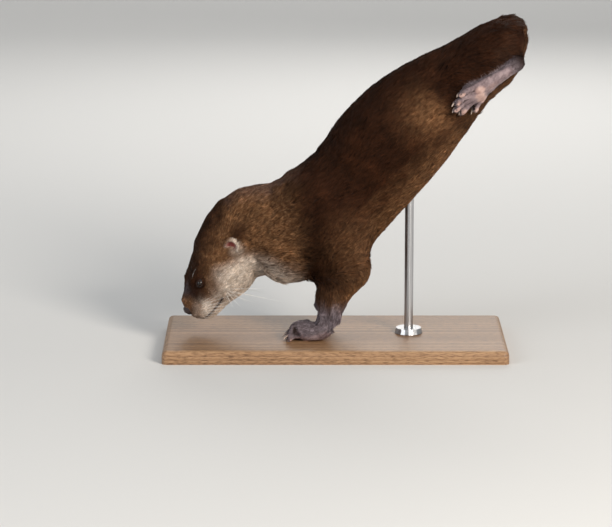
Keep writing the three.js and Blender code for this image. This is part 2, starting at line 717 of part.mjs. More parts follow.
function makeForeleg(name, { foreleg, forepaw, sign }) {
  const wrist = foreleg.at(-1).at;
  const towardsPaw = vec(wrist).sub(vec(foreleg.at(-2).at)).normalize().toArray();
  const wristCut = { at: wrist, normal: towardsPaw };
  const upper = meshOf(flesh, { ...onSide(REACH.foreleg, sign), step: STEP.leg });
  const leg = solidOf(upper).intersect(side(CUT.foreleg)).intersect(side(flipped(wristCut)));
  show("foreleg_" + name, geometryOf(mainBody(leg)), MATERIAL.coat);
  const frame = frameOf(forepaw).matrix;
  const lower = meshOf(flesh, { frame, ...REACH.forepaw, step: STEP.paw });
  const paw = solidOf(lower).intersect(side(wristCut));
  show("forepaw_" + name, geometryOf(mainBody(paw)), MATERIAL.skin);
  makeClaws("forepaw_" + name, forepaw, lower);
}

function makeHindleg(name, part) {
  const { hindpaw, sign } = part;
  const frame = frameOf(hindpaw).matrix;
  const whole = meshOf(footFlesh(part), { frame, ...REACH.hindpaw, step: STEP.paw });
  const ankle = frameOf(hindpaw).outside([0, 0, HINDPAW.ankle]).toArray();
  const ankleCut = { at: ankle, normal: hindpaw.up };
  const foot = mainBody(solidOf(whole).intersect(side(flipped(ankleCut))));
  show("hindfoot_" + name, geometryOf(foot), MATERIAL.skin);
  makeClaws("hindfoot_" + name, hindpaw, whole);
  const coarse = meshOf(footFlesh(part), { frame, ...REACH.hindpaw, step: STEP.shin });
  let cutter = grown(coarse, SHIN_CLEARANCE)
    .intersect(halfSpace(ankle, flipped(ankleCut).normal, -GAP / 2));
  for (const digit of digitsOf(hindpaw)) cutter = cutter.add(clawSolid(hindpaw, digit, GAP * 2));
  const upper = meshOf(flesh, { ...onSide(REACH.haunch, sign), step: STEP.leg });
  const leg = solidOf(upper)
    .intersect(haunchBlock(sign, 0))
    .subtract(cutter)
    .subtract(tailSpaceAndGap());
  show("hindleg_" + name, geometryOf(mainBody(leg)), MATERIAL.coat);
  return cutter;
}

// ---- the stand ----------------------------------------------------------------------------
function makeStand() {
  const { length, width, height, cornerRadius } = BASE;
  const board = new RoundedBoxGeometry(length, width, height + cornerRadius * 2, 2, cornerRadius)
    .translate(0, 0, height / 2 - cornerRadius);
  const flatBoard = solidOf(board).intersect(halfSpace([0, 0, 0], [0, 0, 1], 0));
  show("stand_base", geometryOf(flatBoard), MATERIAL.wood);
  const foot = BASE.height + GAP;
  const collar = new THREE.CylinderGeometry(COLLAR.topRadius, COLLAR.radius, COLLAR.height, 20)
    .rotateX(Math.PI / 2).translate(ROD.x, 0, foot + COLLAR.height / 2);
  show("stand_collar", geometryOf(solidOf(collar).subtract(solidOf(rodSolid(GAP)))), MATERIAL.steel);
  show("stand_rod", rodSolid(0).translate(0, 0, GAP), MATERIAL.steel);
}

makeHead();
makeNeck();
for (const [name, part] of Object.entries(SIDES)) makeForeleg(name, part);
const feet = Object.entries(SIDES).map(([name, part]) => makeHindleg(name, part));
makeTrunk(feet);
makeTail();
makeStand();

export default otter;
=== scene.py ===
"""The otter's looks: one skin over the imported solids, a coat of hair locks that follow the lie of
the fur, the features of its face and feet, and the stand's wood and steel. Metres, in the part's
own frame: the otter faces -X with its left side towards -Y. Places on the head and the paws are
in millimetres, in frames of their own, and a side is 1 for left and -1 for right."""

import math

import bmesh
import bpy
import numpy as np
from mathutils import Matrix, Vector
from mathutils.bvhtree import BVHTree


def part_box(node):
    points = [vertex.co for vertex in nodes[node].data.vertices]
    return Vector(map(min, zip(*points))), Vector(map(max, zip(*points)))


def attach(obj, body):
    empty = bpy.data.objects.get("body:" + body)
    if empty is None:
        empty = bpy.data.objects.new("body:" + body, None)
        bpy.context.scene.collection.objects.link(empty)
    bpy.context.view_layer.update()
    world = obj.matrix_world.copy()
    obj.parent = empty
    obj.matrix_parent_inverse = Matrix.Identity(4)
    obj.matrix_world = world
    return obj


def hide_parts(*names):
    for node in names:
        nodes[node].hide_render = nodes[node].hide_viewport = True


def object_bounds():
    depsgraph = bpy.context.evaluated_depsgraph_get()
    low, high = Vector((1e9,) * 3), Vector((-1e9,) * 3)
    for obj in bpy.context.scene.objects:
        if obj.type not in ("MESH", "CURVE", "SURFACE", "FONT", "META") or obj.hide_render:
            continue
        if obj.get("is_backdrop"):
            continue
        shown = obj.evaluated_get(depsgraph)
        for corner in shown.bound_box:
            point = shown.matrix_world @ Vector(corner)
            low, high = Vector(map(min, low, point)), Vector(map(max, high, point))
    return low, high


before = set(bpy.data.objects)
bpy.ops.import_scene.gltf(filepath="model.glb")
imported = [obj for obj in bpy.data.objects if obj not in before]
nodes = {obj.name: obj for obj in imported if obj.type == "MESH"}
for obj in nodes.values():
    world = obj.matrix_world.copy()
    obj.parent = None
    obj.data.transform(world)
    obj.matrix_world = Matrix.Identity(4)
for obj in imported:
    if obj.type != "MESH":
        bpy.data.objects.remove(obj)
cad_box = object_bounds()
MM = 0.001

# ---- the camera, floor and light ------------------------------------------------------------
ELEVATION = math.radians(12)
CAMERA_DISTANCE = 4.0
VIEW_WIDTH = 0.826  # across the picture, where the otter stands
AIM = Vector((-0.039, 0.0, 0.1137))
FLOOR_FRONT, FLOOR_BACK, FLOOR_SIDE = -5.0, 3.2, 6.0
WALL_BEND, WALL_TOP = 1.6, 4.0
LIT = (0.0, 0.0, 0.2)  # the place on the otter that most lamps point at
LAMPS = {  # each lamp's place, target, width in metres, power in watts and colour
    "key": ((1.7, -2.6, 1.5), LIT, 1.1, 104, (1.0, 0.94, 0.86)),
    "fill": ((-2.6, -2.0, 1.5), LIT, 2.2, 36, (0.93, 0.96, 1.0)),
    "rim": ((0.4, 2.4, 1.6), LIT, 1.6, 19, (1.0, 0.98, 0.95)),
    "backdrop": ((0, 1.2, 3.0), (0, 4.6, 1.6), 2.4, 34, (1.0, 0.98, 0.96)),
}


def new_object(name, data):
    thing = bpy.data.objects.new(name, data)
    bpy.context.scene.collection.objects.link(thing)
    return thing


def make_camera():
    data = bpy.data.cameras.new("camera")
    data.lens = data.sensor_width * CAMERA_DISTANCE / VIEW_WIDTH
    data.clip_end = 50
    camera = new_object("camera", data)
    away = Vector((0, -math.cos(ELEVATION), math.sin(ELEVATION)))
    camera.location = AIM + away * CAMERA_DISTANCE
    camera.rotation_euler = away.to_track_quat("Z", "Y").to_euler()
    bpy.context.scene.camera = camera


def make_lamp(name, place, target, width, power, colour):
    data = bpy.data.lights.new(name, "AREA")
    data.shape = "DISK"
    data.size = width
    data.energy = power
    data.color = colour
    lamp = new_object(name, data)
    lamp.location = place
    lamp.rotation_euler = (Vector(place) - Vector(target)).to_track_quat("Z", "Y").to_euler()


def finish_mesh(mesh, material):
    mesh.materials.append(material)
    for face in mesh.polygons:
        face.use_smooth = True


def make_floor():
    """A pale floor that curves up behind."""
    turns = [math.pi / 2 * i / 12 for i in range(13)]
    curve = [(FLOOR_BACK + WALL_BEND * math.sin(a), WALL_BEND * (1 - math.cos(a))) for a in turns]
    profile = [(FLOOR_FRONT, 0.0), *curve, (FLOOR_BACK + WALL_BEND, WALL_TOP)]
    vertices = [(x, y, z) for x in (-FLOOR_SIDE, FLOOR_SIDE) for y, z in profile]
    n = len(profile)
    mesh = bpy.data.meshes.new("floor")
    mesh.from_pydata(vertices, [], [(i, i + 1, n + i + 1, n + i) for i in range(n - 1)])
    paint = Look("floor").surface({"Base Color": (0.72, 0.71, 0.69), "Roughness": 0.85})
    finish_mesh(mesh, paint)
    new_object("floor", mesh)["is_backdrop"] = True


def make_studio():
    """The floor, a large key light from the right, soft fill and a pale sky."""
    make_floor()
    for name, lamp in LAMPS.items():
        make_lamp(name, *lamp)
    world = bpy.data.worlds.new("studio")
    world.use_nodes = True
    background = world.node_tree.nodes["Background"]
    background.inputs["Color"].default_value = (0.9, 0.95, 1.0, 1)
    background.inputs["Strength"].default_value = 0.36
    bpy.context.scene.world = world
    bpy.context.scene.view_settings.view_transform = "Standard"


# ---- material helpers -----------------------------------------------------------------------
class Look:
    """A material, with short ways to add its nodes."""

    def __init__(self, name):
        self.material = bpy.data.materials.new(name)
        self.material.use_nodes = True
        self.tree = self.material.node_tree
        self.shader = self.tree.nodes["Principled BSDF"]

    def feed(self, node, values):
        """Gives a node's inputs, by name or number, plain values or other nodes' outputs."""
        for key, value in values.items():
            socket = node.inputs[key]
            if isinstance(value, bpy.types.NodeSocket):
                self.tree.links.new(value, socket)
            elif socket.type == "RGBA":
                socket.default_value = (*value, 1)
            else:
                socket.default_value = value

    def add(self, kind, values, **settings):
        node = self.tree.nodes.new("ShaderNode" + kind)
        for key, value in settings.items():
            setattr(node, key, value)
        self.feed(node, values)
        return node

    def surface(self, values):
        """Gives the shader its values, and returns the material."""
        self.feed(self.shader, values)
        return self.material

    def field(self, name):
        return self.add("Attribute", {}, attribute_name=name).outputs["Fac"]

    def place(self, scale=None, location=(0, 0, 0)):
        """The place in the part's frame, or that place moved and stretched."""
        place = self.add("TexCoord", {}).outputs["Object"]
        if scale is None:
            return place
        moved = {"Vector": place, "Scale": scale, "Location": location}
        return self.add("Mapping", moved).outputs["Vector"]

    def noise(self, scale, detail=3.0, vector=None):
        values = {"Scale": scale, "Detail": detail, "Roughness": 0.55}
        return self.add("TexNoise", {**values, "Vector": vector or self.place()}).outputs["Fac"]

    def pebbles(self, scale, height):
        """Low rounded cells with grooves between them."""
        values = {"Scale": scale, "Vector": self.place()}
        cells = self.add("TexVoronoi", values, feature="DISTANCE_TO_EDGE")
        return self.math("MINIMUM", cells.outputs["Distance"], height)

    def math(self, operation, a, b, clamp=False):
        return self.add("Math", {0: a, 1: b}, operation=operation, use_clamp=clamp).outputs[0]

    def scaled(self, value, gain, start):
        """The start and so many times the value."""
        return self.math("ADD", start, self.math("MULTIPLY", value, gain))

    def ramp(self, factor, stops):
        """A colour that goes from stop to stop as the factor grows."""
        node = self.add("ValToRGB", {"Fac": factor})
        elements = node.color_ramp.elements
        while len(elements) < len(stops):
            elements.new(0.5)
        for element, (position, colour) in zip(elements, stops):
            element.position = position
            element.color = (*colour, 1)
        return node.outputs["Color"]

    def shades(self, factor, first, last, low=0.3, high=0.7):
        """Between two colours, or two greys, as the factor goes from low to high."""
        if isinstance(first, float):
            first, last = (first,) * 3, (last,) * 3
        return self.ramp(factor, [(low, first), (high, last)])

    def mix(self, factor, a, b, blend="MIX"):
        values = {0: factor, 6: a, 7: b}
        return self.add("Mix", values, data_type="RGBA", blend_type=blend).outputs[2]

    def bump(self, height, strength, distance):
        values = {"Height": height, "Strength": strength, "Distance": distance}
        return self.add("Bump", values).outputs["Normal"]


# ---- the animal's parts ---------------------------------------------------------------------
# For each kind of part: how deep the skin lies under the tips of the coat, how strongly facets
# are smoothed, and the coat on it: hair length, blade width and the spacing of its locks in
# millimetres, and the blades in a lock.
KINDS = {
    "head": dict(depth=1.9, smooth=0.30, length=7.0, width=0.40, spacing=1.20, blades=3),
    "neck": dict(depth=3.8, smooth=1.00, length=10.5, width=0.56, spacing=1.79, blades=5),
    "trunk": dict(depth=4.2, smooth=1.00, length=12.0, width=0.65, spacing=2.02, blades=6),
    "foreleg": dict(depth=2.6, smooth=0.70, length=8.0, width=0.50, spacing=1.60, blades=4),
    "forepaw": dict(depth=0.6, smooth=0.10, length=3.0, width=0.34, spacing=1.08, blades=2),
    "hindleg": dict(depth=3.6, smooth=0.80, length=10.5, width=0.61, spacing=1.93, blades=5),
    "hindfoot": dict(depth=0.6, smooth=0.10, length=3.0, width=0.34, spacing=1.13, blades=2),
    "tail": dict(depth=2.8, smooth=0.80, length=9.0, width=0.59, spacing=1.83, blades=5),
    "ear": dict(depth=0.45, smooth=0.05, length=3.2, width=0.29, spacing=0.89, blades=3),
}
FLESH = [n for n in nodes if n.split("_")[0] in KINDS and "claw" not in n]
CLAWS = [n for n in nodes if "claw" in n]
PAWS = ("forepaw_left", "forepaw_right", "hindfoot_left", "hindfoot_right")
SIDES = {1: "left", -1: "right"}


def kind_of(node):
    return node.split("_")[0]


def is_hind(node):
    return node.startswith("hind")


def claws_of(paw):
    return sorted(c for c in CLAWS if c.startswith(paw))


def centre(node):
    low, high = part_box(node)
    return np.array((low + high) / 2)


def unit(vectors):
    vectors = np.asarray(vectors, float)
    return vectors / np.maximum(np.linalg.norm(vectors, axis=-1, keepdims=True), 1e-12)


def smoothstep(low, high, values):
    """From 0 at low to 1 at high."""
    t = np.clip((values - low) / (high - low), 0, 1)
    return t * t * (3 - 2 * t)


def fade(low, high, values):
    """From 1 at low to 0 at high."""
    return 1 - smoothstep(low, high, values)


def bell(values, middle, width):
    """A smooth hump: 1 where the values are at the middle, and little at twice the width."""
    return np.exp(-(((values - middle) / width) ** 2))


def norms(vectors):
    return np.linalg.norm(vectors, axis=1)


def waves(points, length, seed):
    """Smooth random hills over space, about as long as told, between -1 and 1."""
    source = np.random.default_rng(seed)
    total = np.zeros(len(points))
    for _ in range(9):
        direction = unit(source.normal(size=3))
        pace = 2 * math.pi / length * source.uniform(0.7, 1.4)
        total += np.sin(points @ direction * pace + source.uniform(0, 6.3))
    return np.clip(total / 4.2, -1, 1)


def head_axes():
    """The head's own frame: its origin between the eyes, x to the nose and y to the left eye."""
    eyes = [centre("eye_left"), centre("eye_right")]
    ears = (centre("ear_left") + centre("ear_right")) / 2
    y = unit(eyes[0] - eyes[1])
    x = centre("nose") - ears
    x = unit(x - y * (x @ y))
    return (eyes[0] + eyes[1]) / 2, np.array([x, y, np.cross(x, y)])


HEAD_ORIGIN, HEAD_AXES = head_axes()


def in_head(points):
    """Points in the head's frame, in millimetres."""
    return (points - HEAD_ORIGIN) @ HEAD_AXES.T / MM


def from_head(points):
    """Points of the head's frame in the part's frame."""
    return HEAD_ORIGIN + np.asarray(points) * MM @ HEAD_AXES


def on_side(points, side):
    """Points of the head's left side, on the side told."""
    return np.asarray(points) * (1, side, 1)


def paw_axes(node):
    """A paw's own frame: x to its toes, z to its back, and its origin at the middle of its box."""
    claws = np.array([centre(c) for c in CLAWS if c.startswith(node)])
    middle = centre(node)
    x = unit(claws.mean(0) - middle)
    across = claws[-1] - claws[0]
    y = unit(across - x * (across @ x))
    return middle, np.array([x, y, np.cross(x, y)])


BODY_LIE = unit((0.72, 0, 0.69))  # from the withers to the rump
BODY_UNDER = unit((0.69, 0, -0.72))
LIES = {"neck": (0.86, 0, 0.4), "foreleg": (-0.12, 0, -1), "hindleg": (0.95, 0, 0.3),
        "trunk": BODY_LIE}


def lie_of(node):
    """Which way the hair lies on a part."""
    kind = kind_of(node)
    if kind == "head":
        return -HEAD_AXES[0] - 0.25 * HEAD_AXES[2]
    if kind in ("forepaw", "hindfoot"):
        return paw_axes(node)[1][0]
    if kind == "ear":
        return centre(node) - from_head((-20, 0, 0))
    if kind == "tail":
        tail = ["tail_root", "tail_middle", "tail_tip"]
        after = max(tail.index(node), 1)
        return centre(tail[after]) - centre(tail[after - 1])
    return LIES[kind]


# ---- the skin -------------------------------------------------------------------------------
VOXEL = 1.55 * MM
GROWTH = 0.6 * MM  # closes the thin cuts between the solids
PLUG_RADIUS, PLUG_LENGTH = 9 * MM, 26 * MM  # what fills the rod's socket in the belly
BODY_FACES = 0.34  # the share of the skin's faces that is kept where the coat hides it


def add_grown(target, source, growth):
    """Adds a node's solid to a bmesh, with its surface moved out."""
    part = bmesh.new()
    part.from_mesh(source.data)
    bmesh.ops.remove_doubles(part, verts=part.verts, dist=1e-6)
    part.normal_update()
    for vertex, normal in [(v, v.normal.copy()) for v in part.verts]:
        vertex.co += normal * growth
    mesh = bpy.data.meshes.new("part")
    part.to_mesh(mesh)
    target.from_mesh(mesh)
    part.free()
    bpy.data.meshes.remove(mesh)


def with_modifier(thing, kind, **settings):
    """Gives the object its mesh after one modifier, which isn't kept."""
    modifier = thing.modifiers.new(kind.lower(), kind)
    for key, value in settings.items():
        setattr(modifier, key, value)
    evaluated = thing.evaluated_get(bpy.context.evaluated_depsgraph_get())
    result = bpy.data.meshes.new_from_object(evaluated)
    thing.modifiers.clear()
    old, thing.data = thing.data, result
    bpy.data.meshes.remove(old)


def joined_flesh():
    """All the flesh as one closed surface of small even faces."""
    whole = bmesh.new()
    for name in FLESH + ["eye_left", "eye_right", "nose"]:
        add_grown(whole, nodes[name], GROWTH)
    low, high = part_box("stand_rod")
    plug = bmesh.ops.create_cone(whole, cap_ends=True, segments=16, radius1=PLUG_RADIUS,
                                 radius2=PLUG_RADIUS, depth=PLUG_LENGTH)
    socket = ((low.x + high.x) / 2, (low.y + high.y) / 2, high.z - 11 * MM)
    bmesh.ops.translate(whole, verts=plug["verts"], vec=socket)
    mesh = bpy.data.meshes.new("skin")
    whole.to_mesh(mesh)
    whole.free()
    thing = new_object("skin", mesh)
    with_modifier(thing, "REMESH", mode="VOXEL", voxel_size=VOXEL)
    return thing


def read(mesh, collection, key, width, kind=float):
    """One attribute of a mesh as an array of rows."""
    items = getattr(mesh, collection)
    values = np.empty(len(items) * width, kind)
    items.foreach_get(key, values)
    return values.reshape(-1, width) if width > 1 else values


def tree_of(meshes):
    """A tree for finding the nearest face, and the mesh that each of its faces is from."""
    corners, faces, owner = [], [], []
    for index, mesh in enumerate(meshes):
        start = len(corners)
        corners.extend(v.co.copy() for v in mesh.vertices)
        faces.extend([start + v for v in face.vertices] for face in mesh.polygons)
        owner.extend([index] * len(mesh.polygons))
    return BVHTree.FromPolygons(corners, faces), owner


def neighbour_mean(values, ends, count):
    """The mean of each vertex's neighbours, for values of any width."""
    degree = np.maximum(np.bincount(ends.ravel(), minlength=count), 1)
    flat = values.reshape(count, -1)
    total = np.empty_like(flat)
    for k in range(flat.shape[1]):
        column = np.bincount(ends[:, 0], flat[ends[:, 1], k], count)
        column += np.bincount(ends[:, 1], flat[ends[:, 0], k], count)
        total[:, k] = column / degree
    return total.reshape(values.shape)


def spread(values, ends, turns):
    """Evens values out over the surface."""
    for _ in range(turns):
        values = 0.5 * values + 0.5 * neighbour_mean(values, ends, len(values))
    return values


class Surface:
    """The skin's vertices with what is known about each of them."""

    def __init__(self, mesh):
        self.mesh = mesh
        self.ends = read(mesh, "edges", "vertices", 2, np.int32)
        self.points = read(mesh, "vertices", "co", 3)
        tree, owner = tree_of([nodes[name].data for name in FLESH])
        self.node = np.array([owner[tree.find_nearest(Vector(p))[2]] for p in self.points])

    def of_kind(self, key, turns):
        """A number of KINDS at each vertex, evened out between parts."""
        values = np.array([KINDS[kind_of(n)][key] for n in FLESH], float)
        return spread(values[self.node], self.ends, turns)

    def share(self, names, turns):
        """How far each vertex belongs to the named kinds of part or nodes, from 0 to 1."""
        values = np.array([kind_of(n) in names or n in names for n in FLESH], float)
        return spread(values[self.node], self.ends, turns)

    def place(self, points):
        self.points = points
        self.mesh.vertices.foreach_set("co", points.ravel())
        self.mesh.update()

    def move(self, offsets):
        self.place(self.points + offsets)

    def smooth(self, strength, turns, steps=(0.5,)):
        """Moves each vertex towards its neighbours' mean, by one or more steps in each turn."""
        points = self.points
        for _ in range(turns):
            for step in steps:
                mean = neighbour_mean(points, self.ends, len(points))
                points = points + step * strength[:, None] * (mean - points)
        self.place(points)

    def normals(self):
        return read(self.mesh, "vertex_normals", "vector", 3)


def coarsen_body(thing):
    """Leaves fewer faces on the trunk, limbs and tail, where the coat hides the skin."""
    surface = Surface(thing.data)
    plain = surface.share(("trunk", "tail", "neck", "hindleg", "foreleg"), 14)
    group = thing.vertex_groups.new(name="plain")
    for index in np.nonzero(plain > 0.98)[0]:
        group.add([int(index)], 1.0, "REPLACE")
    with_modifier(thing, "DECIMATE", ratio=BODY_FACES, vertex_group="plain",
                  vertex_group_factor=1000)
    thing.vertex_groups.clear()


def refine(thing, wanted):
    """Splits the faces whose vertices are all wanted."""
    mesh = bmesh.new()
    mesh.from_mesh(thing.data)
    mesh.verts.ensure_lookup_table()
    chosen = [e for e in mesh.edges if wanted[e.verts[0].index] and wanted[e.verts[1].index]]
    bmesh.ops.subdivide_edges(mesh, edges=chosen, cuts=1, use_grid_fill=True, smooth=0.0)
    bmesh.ops.triangulate(mesh, faces=mesh.faces)
    mesh.to_mesh(thing.data)
    mesh.free()


# ---- features of the skin -------------------------------------------------------------------
EYE_RADIUS = 5.9
EYE_TILT = math.radians(14)  # the inner corner of the eye lies lower
EYE_OPENING = (5.3, 3.4)  # half the opening's length and height
LID = 0.9  # how far the lids stand off the eyeball
EYE_SINK = 1.4  # how deep the skin lies behind the eyeball's front
MOUTH = np.array([  # the left half of the mouth line, from the middle to the corner
    (45.0, 0.0, -20.0), (41.0, 6.5, -22.5), (34.0, 14.5, -28.0), (24.0, 22.0, -33.5),
    (12.0, 29.0, -36.0), (3.0, 34.0, -34.0),
])
LIP_GROOVE = np.array([(46.0, 0, -15.0), (44.0, 0, -21.0)])  # from the nose to the mouth
# The left side's swellings of the whisker pad, the cheek and the brow: places, radii, heights.
SWELLINGS = (((33.0, 17.0, -20.0), 15, 1.5), ((20.0, 29.0, -24.0), 15, 0.8),
             ((4.0, 20.0, 8.0), 9, 0.8))
BRISTLE_BUMP = 0.28  # how far the skin rises round a bristle's root
WELL_OUTSIDE = 40  # far enough from any point in the face to be outside the head


def bump_at(points, place, radius):
    """A smooth hump from 1 at a point to 0 at a distance."""
    return fade(0, radius, norms(points - np.asarray(place)))


def eye_frame(side):
    """An eye's centre and axes in the head's frame: forward along the lids, up, and outward."""
    out = unit((0.30, side * 0.90, 0.30))
    forward = unit(np.cross((0, 0, 1.0), out) * -side)
    up = np.cross(forward, out) * side
    up = unit(up * np.sign(up[2]))
    along = math.cos(EYE_TILT) * forward - math.sin(EYE_TILT) * up
    up = np.cross(along, out)
    up = unit(up * np.sign(up[2]))
    return in_head(centre("eye_" + SIDES[side])), np.array([along, up, out])


def almond(x, y):
    """Grows from 0 at the middle of the eye's opening to 1 at its pointed edge."""
    u, v = x / EYE_OPENING[0], np.abs(y) / EYE_OPENING[1]
    return (v + np.sqrt(v * v + 4 * u * u)) / 2


def shape_eyelids(h):
    """Opens the skin over each eye and stands the lids on the eyeball."""
    for side in SIDES:
        middle, axes = eye_frame(side)
        local = (h - middle) @ axes.T
        distance = norms(local)
        near = (distance < 17) & (local[:, 2] > -3)
        angle = np.arctan2(norms(local[:, :2]), local[:, 2]) * EYE_RADIUS
        flat = unit(local[:, :2]) * angle[:, None]
        opening = almond(flat[:, 0], flat[:, 1])
        inside = fade(0.97, 1.03, opening)
        lid = EYE_RADIUS + LID + 0.4 * bell(opening, 1.4, 0.22)
        lid -= 0.55 * bell(opening, 1.95, 0.2) * (flat[:, 1] > -1)
        target = inside * (EYE_RADIUS - EYE_SINK) + (1 - inside) * lid
        keep = np.maximum(fade(1.5, 2.5, opening), inside)
        moved = distance * (1 - keep) + target * keep
        factor = np.where(near, moved / np.maximum(distance, 1e-6), 1.0)
        h = middle + (h - middle) * factor[:, None]
    return h


def distance_to_line(points, line):
    """How far points are from a line of several points, and how far along it the nearest is."""
    best = np.full(len(points), 1e9)
    along = np.zeros(len(points))
    for i, (a, b) in enumerate(zip(line[:-1], line[1:])):
        run = b - a
        t = np.clip((points - a) @ run / (run @ run), 0, 1)
        away = norms(points - a - t[:, None] * run)
        closer = away < best
        best = np.where(closer, away, best)
        along = np.where(closer, (i + t) / (len(line) - 1), along)
    return best, along


def rounded(line, turns=3):
    """A line with its corners cut off several times."""
    for _ in range(turns):
        a, b = line[:-1], line[1:]
        cut = np.stack([a * 0.75 + b * 0.25, a * 0.25 + b * 0.75], 1).reshape(-1, 3)
        line = np.concatenate([line[:1], cut, line[-1:]])
    return line


def from_mouth(surface):
    """How far each vertex is from the mouth line, and how far back along it."""
    h = in_head(surface.points)
    left, right = (distance_to_line(h, on_side(surface.mouth, side)) for side in SIDES)
    nearer = left[0] < right[0]
    return [np.where(nearer, a, b) for a, b in zip(left, right)]


def on_skin(tree, point, inward):
    """Where a line from outside the head meets the skin, in the head's frame."""
    start = from_head(point - inward * WELL_OUTSIDE)
    hit = tree.ray_cast(Vector(start), Vector(inward @ HEAD_AXES))[0]
    return in_head(np.array(hit)) if hit is not None else point


def mouth_line(tree):
    """The left half of the mouth line, laid on the skin."""
    line = []
    for point in rounded(MOUTH):
        inward = -unit(np.array([max(point[0] - 18, 0) * 0.9, point[1] + 0.01, 0]))
        line.append(on_skin(tree, point, inward))
    return np.array(line)


def bristle_roots(side):
    """Where the bristles of one lip grow: the row and step of each, and its place."""
    for row, step in np.ndindex(4, 5):
        yield row, step, on_side((37.0 - 4.1 * step, 13.5 + 3.4 * step, -14.5 - 3.4 * row), side)


def shape_muzzle(surface, tree):
    """The mouth, the groove under the nose, the whisker pads, the cheeks and the brows."""
    h = in_head(surface.points)
    n = surface.normals() @ HEAD_AXES.T
    offset = np.zeros(len(h))
    surface.mouth = line = mouth_line(tree)
    for side in SIDES:
        away, along = distance_to_line(h, on_side(line, side))
        depth = (1.3 + smoothstep(0.05, 0.25, along)) * fade(0.8, 1.0, along)
        offset -= depth * bell(away, 0, 1.15)
        below = h[:, 2] < np.interp(along, np.linspace(0, 1, len(line)), line[:, 2])
        lip = bell(away, 2.6, 1.5) * fade(0.75, 1.0, along)
        offset += np.where(below, 0.35, 0.8) * lip
        for place, radius, height in SWELLINGS:
            offset += height * bump_at(h, on_side(place, side), radius)
        for _, _, root in bristle_roots(side):
            offset += BRISTLE_BUMP * bell(norms(h - root), 0, 1.3)
    away, _ = distance_to_line(h, LIP_GROOVE)
    offset -= 1.2 * bell(h[:, 1], 0, 0.9) * fade(2.5, 5.0, away)
    surface.move((n * offset[:, None]) @ HEAD_AXES * MM)


def ear_frame(side):
    """An ear's root, its axes (across it, from the head outwards, out of its hollow face) and
    half its width and its height, all in the head's frame."""
    points = in_head(read(nodes["ear_" + SIDES[side]].data, "vertices", "co", 3))
    middle = points.mean(0)
    _, _, turns = np.linalg.svd(points - middle, full_matrices=False)
    face = turns[2] * np.sign(turns[2][0])
    away = middle - in_head(centre("head"))
    out = unit(away - face * (away @ face))
    axes = np.array([np.cross(face, out), out, face])
    local = (points - middle) @ axes.T
    root = middle + out * local[:, 1].min()
    return root, axes, np.array([np.abs(local[:, 0]).max(), np.ptp(local[:, 1])])


def in_ear(h, side):
    """Each point's place in an ear: across it from -1 to 1, up it from 0 to 1, out of it in
    millimetres, and how far it is from the hollow's middle, where the rim is at about 1."""
    root, axes, size = ear_frame(side)
    local = (h - root) @ axes.T
    across, up = local[:, 0] / size[0], local[:, 1] / size[1]
    return across, up, local[:, 2], np.hypot(across, (up - 0.42) / 0.55)


def shape_ears(surface):
    """Bends each ear into a shallow cup that opens forward, with a hollow in it."""
    h = in_head(surface.points)
    weight = surface.share(("ear",), 4)
    for side in SIDES:
        across, up, out, r = in_ear(h, side)
        mine = weight * (np.abs(across) < 1.4) * (up > -0.3) * (up < 1.5) * (np.abs(out) < 9)
        rise = smoothstep(0.1, 0.7, up)
        curl = 2.6 * across ** 2 * rise + 1.6 * smoothstep(0.5, 1.1, up) - 1.2 * rise
        hollow = -2.8 * smoothstep(-0.5, 0.8, out) * fade(0.15, 0.8, r)
        h = h + ear_frame(side)[1][2] * ((curl + hollow) * mine)[:, None]
    surface.place(from_head(h))


def sole_side(surface, paw):
    """How far each vertex belongs to a paw's sole, its place in the paw's frame, and the frame's
    axes."""
    middle, axes = paw_axes(paw)
    local = (surface.points - middle) @ axes.T / MM
    facing = surface.normals() @ axes[2]
    return surface.share((paw,), 4) * fade(-0.45, 0.1, facing), local, axes


def slimmer(paw, flat):
    """Places in the plane of a paw, drawn together on the slender hind feet."""
    if not is_hind(paw):
        return flat
    flat = flat.copy()
    inner = 1 if paw.endswith("left") else -1
    x = flat[:, 0]
    flat[:, 1] *= 0.80 - 0.12 * fade(-32, -8, x)
    flat[:, 1] -= 7.0 * inner * smoothstep(-5, 40, x)
    return flat


def toes_of(paw):
    """Each toe's line in the plane of its paw, from its root to the claw."""
    middle, axes = paw_axes(paw)
    tips = np.array([(centre(c) - middle) @ axes.T / MM for c in claws_of(paw)])[:, :2]
    length = 36.0 if is_hind(paw) else 24.0
    return [(np.array([tip[0] - length, tip[1] * 0.5]), tip - (2.5, 0))
            for tip in slimmer(paw, tips)]


def toe_reach(paw, flat):
    """For places in the plane of a paw: how far the nearest toe's line is, how far along that
    toe they lie, and how much farther the next toe is, which is 0 midway between two toes."""
    aways, alongs = [], []
    for root, tip in toes_of(paw):
        run = tip - root
        length = np.linalg.norm(run)
        t = (flat - root) @ run / (run @ run)
        beside = np.abs((flat - root) @ (-run[1], run[0])) / length
        aways.append(np.hypot(beside, np.clip(t, None, 0) * length))
        alongs.append(np.clip(t, 0, 1))
    nearest = np.argmin(aways, axis=0)
    closest = np.sort(aways, axis=0)
    return closest[0], np.array(alongs)[nearest, np.arange(len(flat))], closest[1] - closest[0]


